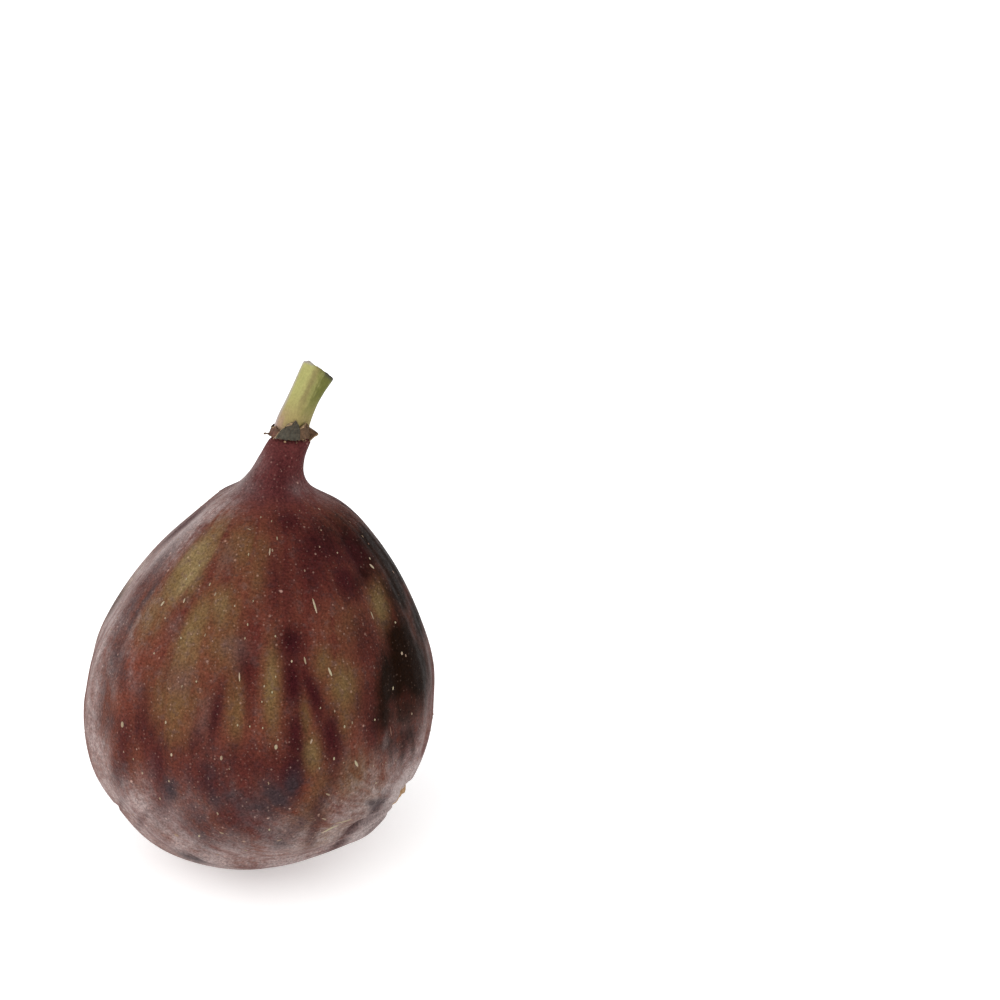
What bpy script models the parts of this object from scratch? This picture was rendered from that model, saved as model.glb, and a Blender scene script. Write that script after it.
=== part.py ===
"""A fresh fig as picked: fleshy fruit, short stem, dry bracts at the neck, scales closing the eye.

Metres, +Z up. The fig stands on a small flat spot. The origin is the middle of that spot,
+X is to the right of the side it is seen from and -Y is that side.
"""
import math

import bmesh
import bpy
import numpy as np
from mathutils import Matrix, Vector

OBJECT_NAME = "fresh_fig"

# Driving dimensions of the fruit, from its widest ring
WIDEST_RADIUS = 0.0257
DEPTH_BELOW = 0.0230
NECK_HEIGHT = 0.0383
LOWER_FULLNESS = 0.87

# Outline from the neck's top down to the widest ring: share of NECK_HEIGHT, share of WIDEST_RADIUS
UPPER_OUTLINE = [
    (1.000, 0.112), (0.940, 0.127), (0.877, 0.161), (0.820, 0.240), (0.757, 0.402),
    (0.668, 0.545), (0.540, 0.703), (0.372, 0.853), (0.192, 0.963), (0.000, 1.000),
]

# How the fruit stands: it leans right and back, and the neck bends on the same way
WIDEST_HEIGHT = 0.0225
REST_SPOT_FROM_AXIS = (-0.0004, 0.0005)
LEAN_RIGHT = math.radians(5.0)
LEAN_BACK = math.radians(8.0)
BEND_START = 0.0298
BEND_RIGHT = 58.0
BEND_BACK = 22.0
NECK_SHIFT = -0.0010
NECK_SHIFT_START = 0.0270
NECK_SHIFT_LENGTH = 0.0060

# The eye sits low on the right side, where the ribs run together
EYE_AZIMUTH = math.radians(-10.0)
EYE_TURN = math.radians(59.0)
EYE_TURN_START = 0.36
EYE_FLATTENING = 0.0025
EYE_FLATTENING_WIDTH = 0.88
EYE_PIT_DEPTH = 0.0014
EYE_PIT_RADIUS = 0.0030
EYE_LIP_HEIGHT = 0.0003
EYE_LIP_RADIUS = 0.0050
# Ring near the eye whose plane gives the way the eye faces
EYE_FACING_RING = 0.93

# Ribs run from neck to eye: count, height, where round the fruit the first one lies
RIBS = [(5, 0.00020, 0.4), (8, 0.00020, 2.1), (13, 0.00018, 5.2), (19, 0.00010, 1.3)]
RIBS_START = 0.12
RIBS_RISE = 0.35
RIBS_EYE_ANGLE = 0.35
# Folds that run together at the eye, and the angles from the eye between which they stand out
EYE_FOLDS = (11, 0.00018, 0.7)
EYE_FOLDS_START = 0.12
EYE_FOLDS_END = 0.75
EYE_FOLDS_FADE = 0.60
# The ribs are pressed flat round the spot it stands on
PRESSED_REACH = 0.55
SEAT_FULLNESS = 0.0007
SEAT_REACH = 0.40
SEAT_DIRECTION = (0.00, -0.16, -1.0)
# Shallow dents, and a bulge as a dent below nothing: direction from the middle, reach as an angle, depth
DENTS = [
    (-0.76, 0.00, 0.65, 0.42, 0.0017),
    (-0.81, -0.14, -0.57, 0.26, 0.0013),
    (-0.66, -0.50, -0.56, 0.20, 0.0004),
    (0.33, -0.26, -0.91, 0.24, 0.0008),
    (0.64, -0.22, -0.74, 0.18, -0.0007),
    (-0.35, -0.82, -0.45, 0.24, 0.0003),
    (0.55, -0.80, 0.05, 0.30, 0.0004),
    (0.30, 0.90, -0.10, 0.34, 0.0005),
    (-0.60, 0.66, 0.20, 0.26, 0.0004),
]

SEGMENTS = 96
RINGS = 44
# Rings stand closer together near the eye, and the relief begins a little below the neck's top
RING_CROWDING = 0.25
NECK_FADE = 0.05
# Edges that bend more than this are shown sharp
SHARP_ANGLE = math.radians(50.0)

# Stem, from the neck's top: share of its length and radius, from the cut end down to the foot
STEM_GAP = 0.0003
STEM_LENGTH = 0.0098
STEM_PROFILE = [
    (1.00, 0.0), (1.00, 0.00212), (0.84, 0.00207), (0.66, 0.00213), (0.48, 0.00221), (0.34, 0.00227),
    (0.22, 0.00228), (0.12, 0.00222), (0.05, 0.00210), (0.00, 0.00210), (0.00, 0.0),
]
STEM_CUT_SLOPE = (0.45, 0.48)
STEM_CUT_REACH = 0.5
STEM_SIDES = 28
STEM_RIDGES = (5, 0.00012, 0.5)
# The stem bends on to its own lean: slope right and back, where the bend starts, how long it takes
STEM_SLOPE = (0.52, 0.19)
STEM_BEND_START = 0.0015
STEM_BEND_REACH = 0.0036

# Dry bracts: the lobes of one torn collar, which bulges and stands a little off the stem as it rises
BRACT_THICKNESS = 0.0007
BRACT_FOOT_RADIUS = 0.0025
BRACT_BULGE = 0.00026
BRACT_STEP_OUT = 0.0004
BRACT_STEP_HEIGHT = 0.0015
BRACT_LOW_EDGE = 0.0008
BRACTS = [
    # azimuth in degrees, half width in degrees, height of the tip, how far the tip stands off
    (-62.0, 52.0, 0.0037, 0.00010),
    (-172.0, 36.0, 0.0014, 0.00060),
    (10.0, 30.0, 0.0015, 0.00065),
    (98.0, 46.0, 0.0030, 0.00030),
]
LOBE_SHARPNESS = 0.8
LOBE_STAND_OFF_SHARPNESS = 1.5
BRACT_SIDES = 60
BRACT_RINGS = 4

# Scales that close the eye, on a button with a flatter underside: rows of count and row radius
EYE_GAP = 0.0003
EYE_BUTTON_RADIUS = 0.0014
EYE_BUTTON_HEIGHT = 0.0009
EYE_BUTTON_UNDERSIDE = 0.35
EYE_SCALE_ROWS = [(8, 0.72), (5, 0.36)]
EYE_SCALE_LENGTH = 0.2
EYE_SCALE_LIFT = 0.00022
EYE_SEGMENTS = 40
EYE_RINGS = 14

# Colour and roughness of each surface
SKIN = ((0.11, 0.037, 0.028), 0.55)
STEM_SKIN = ((0.31, 0.24, 0.09), 0.6)
DRY_BRACT = ((0.09, 0.05, 0.028), 0.8)
EYE_SCALE = ((0.32, 0.13, 0.05), 0.75)


def smooth_step(x):
    """Runs from 0 to 1 with flat ends."""
    x = np.clip(x, 0.0, 1.0)
    return x * x * (3.0 - 2.0 * x)


def curve_through(points, share):
    """Smooth curve through evenly numbered points, share from 0 at the first to 1 at the last."""
    points = np.asarray(points, float)
    last = len(points) - 1
    place = np.clip(np.asarray(share, float), 0.0, 1.0) * last
    index = np.minimum(place.astype(int), last - 1)
    f = (place - index)[..., None]
    padded = np.concatenate([[2 * points[0] - points[1]], points, [2 * points[-1] - points[-2]]])
    a, b, c, d = (padded[index + k] for k in range(4))
    return b + 0.5 * f * (c - a + f * (2 * a - 5 * b + 4 * c - d + f * (3 * (b - c) + d - a)))


def outline(share, cap):
    """Radius and height over the widest ring: share 0 on the axis at the neck, 0.5 widest, 1 lowest."""
    share = np.asarray(share, float)
    points = [(WIDEST_RADIUS * r, NECK_HEIGHT * h) for h, r in UPPER_OUTLINE]
    upper = curve_through(points, (share - cap) / (0.5 - cap))
    neck_radius = points[0][0]
    top = np.stack([neck_radius * np.clip(share / cap, 0, 1), np.full_like(share, NECK_HEIGHT)], -1)
    angle = np.clip(share - 0.5, 0.0, 0.5) * math.pi
    lower = np.stack([
        WIDEST_RADIUS * np.cos(angle) ** LOWER_FULLNESS,
        -DEPTH_BELOW * np.sin(angle) ** LOWER_FULLNESS,
    ], -1)
    shape = np.where((share < 0.5)[..., None], upper, lower)
    return np.where((share < cap)[..., None], top, shape)


def lean(points):
    """Tips points of the upright fruit into the way it stands, over the rest spot."""
    x, y, z = np.moveaxis(np.asarray(points, float), -1, 0)
    x, z = (x * math.cos(LEAN_RIGHT) + z * math.sin(LEAN_RIGHT),
            z * math.cos(LEAN_RIGHT) - x * math.sin(LEAN_RIGHT))
    y, z = (y * math.cos(LEAN_BACK) + z * math.sin(LEAN_BACK),
            z * math.cos(LEAN_BACK) - y * math.sin(LEAN_BACK))
    return np.stack([x - REST_SPOT_FROM_AXIS[0], y - REST_SPOT_FROM_AXIS[1], z + WIDEST_HEIGHT], -1)


def eye_direction():
    """Where the eye lies from the middle of the upright fruit."""
    level = math.sin(EYE_TURN)
    return np.array([level * math.cos(EYE_AZIMUTH), level * math.sin(EYE_AZIMUTH), -math.cos(EYE_TURN)])


def angle_from(direction, middle):
    """Angle between the directions and one middle direction, which may be of any length."""
    middle = np.array(middle) / math.hypot(*middle)
    return np.arccos(np.clip(direction @ middle, -1.0, 1.0))


def relief(ring, azimuth, direction, from_eye):
    """Height of ribs, folds, dents and the eye's pit over the plain form."""
    body = smooth_step((ring - RIBS_START) / RIBS_RISE) * smooth_step(from_eye / RIBS_EYE_ANGLE)
    from_rest = angle_from(direction, SEAT_DIRECTION)
    body *= smooth_step(from_rest / PRESSED_REACH)
    height = SEAT_FULLNESS * np.exp(-(from_rest / SEAT_REACH) ** 2)
    for count, rise, start in RIBS:
        height = height + rise * body * np.cos(count * azimuth + start)
    count, rise, start = EYE_FOLDS
    near = smooth_step(from_eye / EYE_FOLDS_START) * smooth_step((EYE_FOLDS_END - from_eye) / EYE_FOLDS_FADE)
    height += rise * near * np.cos(count * azimuth + start)
    for x, y, z, reach, depth in DENTS:
        height -= depth * np.exp(-(angle_from(direction, (x, y, z)) / reach) ** 2)
    distance = from_eye * WIDEST_RADIUS
    height += EYE_LIP_HEIGHT * np.exp(-(distance / EYE_LIP_RADIUS) ** 2)
    height -= (EYE_PIT_DEPTH + EYE_LIP_HEIGHT) * np.exp(-(distance / EYE_PIT_RADIUS) ** 4)
    return height


def fig_surface(ring, azimuth, cap):
    """Points of the fig. ring runs from 0 at the neck to 1 at the eye, azimuth goes round the fruit."""
    crowding = RING_CROWDING * np.sin((ring - 0.5) * 2 * math.pi) / math.pi
    share = np.where(ring > 0.5, ring + crowding, ring)
    polar = share * math.pi
    turn = EYE_TURN * smooth_step((share - EYE_TURN_START) / (1.0 - EYE_TURN_START))
    x, y, z = np.sin(polar) * np.cos(azimuth), np.sin(polar) * np.sin(azimuth), np.cos(polar)
    # The lower rings turn towards the eye, so that they close round it
    ex, ey = math.cos(EYE_AZIMUTH), math.sin(EYE_AZIMUTH)
    along, aside = x * ex + y * ey, y * ex - x * ey
    along, z = along * np.cos(turn) - z * np.sin(turn), along * np.sin(turn) + z * np.cos(turn)
    x, y = along * ex - aside * ey, along * ey + aside * ex
    direction = np.stack([x, y, z], -1)
    from_eye = angle_from(direction, eye_direction())

    around = np.arctan2(y, x)
    radius, height = np.moveaxis(outline(np.arccos(np.clip(z, -1.0, 1.0)) / math.pi, cap), -1, 0)
    rise = relief(share, azimuth, direction, from_eye)
    rise -= EYE_FLATTENING * np.exp(-(from_eye / EYE_FLATTENING_WIDTH) ** 2)
    below = np.clip(-height / DEPTH_BELOW, 0.0, 1.0)
    cap_fade = smooth_step((share - cap) / NECK_FADE)
    radius = radius + rise * np.sqrt(1.0 - below * below) * cap_fade
    height = height - rise * below

    right, back = neck_bend(height)
    return lean(np.stack([right + radius * np.cos(around), back + radius * np.sin(around), height], -1))


def neck_bend(height):
    """How far right and back the middle line lies at a height over the widest ring."""
    past = np.maximum(height - BEND_START, 0.0)
    shift = NECK_SHIFT * smooth_step((height - NECK_SHIFT_START) / NECK_SHIFT_LENGTH)
    return BEND_RIGHT * past * past / 2 + shift, BEND_BACK * past * past / 2


def neck_frame():
    """Place and turn of the neck's flat top, with its Z out of the fruit."""
    base = np.array([*neck_bend(NECK_HEIGHT), NECK_HEIGHT])
    base, tip, side = lean(base + np.array([[0.0, 0.0, 0.0], [0.0, 0.0, 1.0], [1.0, 0.0, 0.0]]))
    return frame_from(base, tip - base, side - base)


def eye_frame():
    """Place and turn of the eye's pit, with its Z out of the fruit."""
    around = np.arange(4) * math.pi / 2
    right, front, left, rear = fig_surface(np.full(4, EYE_FACING_RING), around, 1.0 / RINGS)
    bottom = fig_surface(np.array([1.0]), np.array([0.0]), 1.0 / RINGS)[0]
    outward = np.cross(right - left, front - rear)
    if outward @ (bottom - lean([0.0, 0.0, 0.0])) < 0:
        outward = -outward
    return frame_from(bottom, outward, np.array([0.0, -1.0, 0.0]))


def frame_from(origin, axis, side):
    """A placing matrix from an origin, its Z axis and a rough X axis."""
    z = Vector(axis).normalized()
    x = Vector(side)
    x = (x - z * x.dot(z)).normalized()
    y = z.cross(x)
    turn = Matrix((x, y, z)).transposed().to_4x4()
    return Matrix.Translation(Vector(origin)) @ turn


def make_material(name, colour, roughness, metallic=0.0):
    """A plain surface of one colour."""
    material = bpy.data.materials.new(name)
    material.use_nodes = True
    shader = material.node_tree.nodes["Principled BSDF"]
    shader.inputs["Base Color"].default_value = (*colour, 1.0)
    shader.inputs["Roughness"].default_value = roughness
    shader.inputs["Metallic"].default_value = metallic
    return material


def add_object(name, shape, collection, material, place=None):
    """Turns a finished shape into a named object in the collection."""
    mesh = bpy.data.meshes.new(name)
    shape.to_mesh(mesh)
    shape.free()
    mesh.materials.append(material)
    item = bpy.data.objects.new(name, mesh)
    collection.objects.link(item)
    if place is not None:
        item.matrix_world = place
    mesh.shade_smooth()
    mesh.set_sharp_from_angle(angle=SHARP_ANGLE)
    return item


def sphere_rings(segments, rings):
    """A closed ball of rings, with each point's ring share and azimuth."""
    ball = bmesh.new()
    bmesh.ops.create_uvsphere(ball, u_segments=segments, v_segments=rings, radius=1.0)
    places = np.array([point.co for point in ball.verts])
    ring = np.round(np.arccos(np.clip(places[:, 2], -1.0, 1.0)) / math.pi * rings) / rings
    azimuth = np.arctan2(places[:, 1], places[:, 0])
    return ball, ring, azimuth


def move_points(shape, places):
    """Moves each point of the shape to its new place."""
    for point, place in zip(shape.verts, places):
        point.co = place


def make_fruit(collection):
    """The fleshy fruit: one skin from the neck's top to the pit of the eye, flat where it stands."""
    ball, ring, azimuth = sphere_rings(SEGMENTS, RINGS)
    places = fig_surface(ring, azimuth, 1.0 / RINGS)
    places[:, 2] = np.maximum(places[:, 2], 0.0)
    move_points(ball, places)
    material = make_material("fig_skin", *SKIN)
    return add_object("fruit", ball, collection, material)


def make_stem(collection):
    """The short stem, snapped off at a slant, with its foot inside the bracts."""
    rows = len(STEM_PROFILE) - 1
    ball, ring, azimuth = sphere_rings(STEM_SIDES, rows)
    share, radius = np.array(STEM_PROFILE)[np.round(ring * rows).astype(int)].T
    count, rise, start = STEM_RIDGES
    radius = radius + rise * np.cos(count * azimuth + start) * (radius > 0.0)
    height = STEM_GAP + share * STEM_LENGTH
    x, y = radius * np.cos(azimuth), radius * np.sin(azimuth)
    past = np.maximum(height - STEM_BEND_START, 0.0)
    shift = past * past / (past + STEM_BEND_REACH)
    slanted = smooth_step((share - STEM_CUT_REACH) / (1.0 - STEM_CUT_REACH))
    height -= (STEM_CUT_SLOPE[0] * x + STEM_CUT_SLOPE[1] * y) * slanted
    move_points(ball, np.stack([x + STEM_SLOPE[0] * shift, y + STEM_SLOPE[1] * shift, height], -1))
    material = make_material("stem_green", *STEM_SKIN)
    return add_object("stem", ball, collection, material, neck_frame())


def bract_edge(azimuth):
    """Height of the collar's free edge and how far it stands off, round the neck."""
    height = np.full_like(azimuth, BRACT_LOW_EDGE)
    stand_off = np.zeros_like(azimuth)
    for degrees, half_width, tip, flare in BRACTS:
        away = np.abs((azimuth - math.radians(degrees) + math.pi) % (2 * math.pi) - math.pi)
        share = np.clip(1.0 - away / math.radians(half_width), 0.0, 1.0)
        height = np.maximum(height, BRACT_LOW_EDGE + (tip - BRACT_LOW_EDGE) * share ** LOBE_SHARPNESS)
        stand_off = np.maximum(stand_off, flare * share ** LOBE_STAND_OFF_SHARPNESS)
    return height, stand_off


def make_stem_bracts(collection):
    """The torn collar of dry bracts: a thin ring wall whose free edge rises in pointed lobes."""
    wall = bmesh.new()
    azimuth = np.arange(BRACT_SIDES) * 2 * math.pi / BRACT_SIDES
    height, stand_off = bract_edge(azimuth)
    loops = []
    for side in (1, 0):
        steps = range(BRACT_RINGS + 1) if side else range(BRACT_RINGS, -1, -1)
        for step in steps:
            share = step / BRACT_RINGS
            radius = BRACT_FOOT_RADIUS + side * BRACT_THICKNESS
            radius = radius + BRACT_BULGE * math.sin(math.pi * share) + stand_off * share ** 2
            radius = radius + BRACT_STEP_OUT * smooth_step(height * share / BRACT_STEP_HEIGHT)
            loops.append([
                wall.verts.new((r * math.cos(a), r * math.sin(a), STEM_GAP + h * share))
                for r, a, h in zip(radius, azimuth, height)
            ])
    for below, above in zip(loops, loops[1:] + loops[:1]):
        for k in range(BRACT_SIDES):
            after = (k + 1) % BRACT_SIDES
            wall.faces.new((below[k], below[after], above[after], above[k]))
    bmesh.ops.recalc_face_normals(wall, faces=wall.faces)
    material = make_material("bract_brown", *DRY_BRACT)
    return add_object("stem_bracts", wall, collection, material, neck_frame())


def make_eye_scales(collection):
    """The scales that close the eye, overlapping in rows on one small button."""
    ball, ring, azimuth = sphere_rings(EYE_SEGMENTS, EYE_RINGS)
    polar = ring * math.pi
    out = np.sin(polar)
    lift = np.zeros_like(ring)
    for row, (count, middle) in enumerate(EYE_SCALE_ROWS):
        turn = (azimuth * count / (2 * math.pi) + row * 0.5) % 1.0
        arch = np.sin(math.pi * turn)
        lift += EYE_SCALE_LIFT * arch * np.exp(-((out - middle) / EYE_SCALE_LENGTH) ** 2)
    upper = EYE_BUTTON_HEIGHT * np.cos(polar)
    under = upper * EYE_BUTTON_UNDERSIDE
    height = np.where(ring < 0.5, upper + lift, under) + EYE_BUTTON_HEIGHT * EYE_BUTTON_UNDERSIDE + EYE_GAP
    radius = EYE_BUTTON_RADIUS * out
    move_points(ball, np.stack([radius * np.cos(azimuth), radius * np.sin(azimuth), height], -1))
    material = make_material("eye_scale_brown", *EYE_SCALE)
    return add_object("eye_scales", ball, collection, material, eye_frame())


def main():
    for item in list(bpy.data.objects):
        bpy.data.objects.remove(item, do_unlink=True)
    collection = bpy.data.collections.new(OBJECT_NAME)
    bpy.context.scene.collection.children.link(collection)
    make_fruit(collection)
    make_stem(collection)
    make_stem_bracts(collection)
    make_eye_scales(collection)


main()
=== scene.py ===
"""The looks of a fresh fig as picked: streaked skin with bloom and with painted sheen and shade, stem, dry
bracts and the eye's scales.

Metres, +Z up, the origin in the middle of the spot that the fig stands on, -Y towards the viewer.
"""
import functools
import math

import bpy
import numpy as np
from bpy.props import FloatProperty, FloatVectorProperty, IntProperty, PointerProperty
from mathutils import Matrix, Vector


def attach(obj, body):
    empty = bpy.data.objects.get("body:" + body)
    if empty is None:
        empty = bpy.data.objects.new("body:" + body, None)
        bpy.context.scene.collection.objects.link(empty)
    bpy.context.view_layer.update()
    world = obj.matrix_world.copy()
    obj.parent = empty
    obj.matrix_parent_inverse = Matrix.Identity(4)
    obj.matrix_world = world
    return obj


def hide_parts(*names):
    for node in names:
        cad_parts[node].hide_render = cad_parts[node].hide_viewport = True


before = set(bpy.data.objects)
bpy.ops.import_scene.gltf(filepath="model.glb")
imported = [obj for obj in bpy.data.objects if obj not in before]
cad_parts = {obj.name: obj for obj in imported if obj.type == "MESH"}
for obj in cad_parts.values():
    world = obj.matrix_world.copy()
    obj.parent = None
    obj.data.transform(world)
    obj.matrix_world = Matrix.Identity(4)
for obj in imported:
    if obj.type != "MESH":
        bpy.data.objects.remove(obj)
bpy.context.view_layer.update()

bl_info = {
    "name": "Fresh Fig",
    "version": (1, 0, 0),
    "blender": (4, 5, 0),
    "location": "3D View > Sidebar > Fig",
    "description": "Builds a fresh fig with streaked skin, a snapped stem, dry bracts and a scaly eye",
    "category": "Add Mesh",
}

BODY = "root"

# The fruit's driving dimensions, from its widest ring
WIDEST_RADIUS = 0.0257
DEPTH_BELOW = 0.0230
NECK_HEIGHT = 0.0383
LOWER_FULLNESS = 0.87
NECK_CAP = 1.0 / 44.0
# The neck's skin runs up this far under the bracts
NECK_SLEEVE = 0.0010
NECK_SLEEVE_WIDTH = 0.2

# Outline from the neck's top down to the widest ring: share of NECK_HEIGHT, share of WIDEST_RADIUS
UPPER_OUTLINE = [
    (1.000, 0.112), (0.940, 0.127), (0.877, 0.161), (0.820, 0.240), (0.757, 0.402),
    (0.668, 0.545), (0.540, 0.703), (0.372, 0.853), (0.192, 0.963), (0.000, 1.000),
]

# How the fruit stands: it leans right and back, and the neck bends on the same way
WIDEST_HEIGHT = 0.0225
REST_SPOT_FROM_AXIS = (-0.0004, 0.0005)
LEAN_RIGHT = math.radians(5.0)
LEAN_BACK = math.radians(8.0)
BEND_START = 0.0298
BEND_RIGHT = 58.0
BEND_BACK = 22.0
NECK_SHIFT = -0.0010
NECK_SHIFT_START = 0.0270
NECK_SHIFT_LENGTH = 0.0060

# Step by which the skin's direction is felt
FEEL_STEP = 0.002

# The eye sits low on the right side, where the ribs run together
EYE_AZIMUTH = math.radians(-10.0)
EYE_TURN = math.radians(59.0)
EYE_TURN_START = 0.36
EYE_FLATTENING = 0.0025
EYE_FLATTENING_WIDTH = 0.88
EYE_PIT_DEPTH = 0.0014
EYE_PIT_RADIUS = 0.0030
EYE_LIP_HEIGHT = 0.0003
EYE_LIP_RADIUS = 0.0050
# Ring near the eye whose plane gives the way the eye faces
EYE_FACING_RING = 0.93

# Ribs run from neck to eye: count, height, where round the fruit the first one lies
RIBS = [(5, 0.00020, 0.4), (8, 0.00020, 2.1), (13, 0.00018, 5.2), (19, 0.00010, 1.3)]
RIBS_START = 0.12
RIBS_RISE = 0.35
RIBS_EYE_ANGLE = 0.35
# Folds that run together at the eye, and the angles from the eye between which they stand out
EYE_FOLDS = (11, 0.00018, 0.7)
EYE_FOLDS_START = 0.12
EYE_FOLDS_END = 0.75
EYE_FOLDS_FADE = 0.60
# The ribs are pressed flat round the spot it stands on
PRESSED_REACH = 0.55
SEAT_FULLNESS = 0.0007
SEAT_REACH = 0.40
SEAT_DIRECTION = (0.00, -0.16, -1.0)
# Shallow dents: direction from the middle, reach as an angle, depth, which is negative for a bulge
DENTS = [
    (-0.76, 0.00, 0.65, 0.42, 0.0017),
    (-0.81, -0.14, -0.57, 0.26, 0.0013),
    (-0.66, -0.50, -0.56, 0.20, 0.0004),
    (0.33, -0.26, -0.91, 0.24, 0.0008),
    (0.64, -0.22, -0.74, 0.18, -0.0007),
    (-0.35, -0.82, -0.45, 0.24, 0.0003),
    (0.55, -0.80, 0.05, 0.30, 0.0004),
    (0.30, 0.90, -0.10, 0.34, 0.0005),
    (-0.60, 0.66, 0.20, 0.26, 0.0004),
]
# Fine wrinkles of the skin between the ribs: count round the fruit, height, start, how much they wander
WRINKLES = [(37, 0.000035, 0.3, 0.9), (61, 0.000022, 2.7, 1.4), (23, 0.000045, 4.4, 0.7)]
WRINKLES_START = 0.05
WRINKLES_RISE = 0.30
WRINKLES_EYE_ANGLE = 0.40
WRINKLE_WAVES = (9, 3)
# Rings stand closer together near the eye, and the relief begins a little below the neck's top
RING_CROWDING = 0.25
NECK_FADE = 0.05

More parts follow.
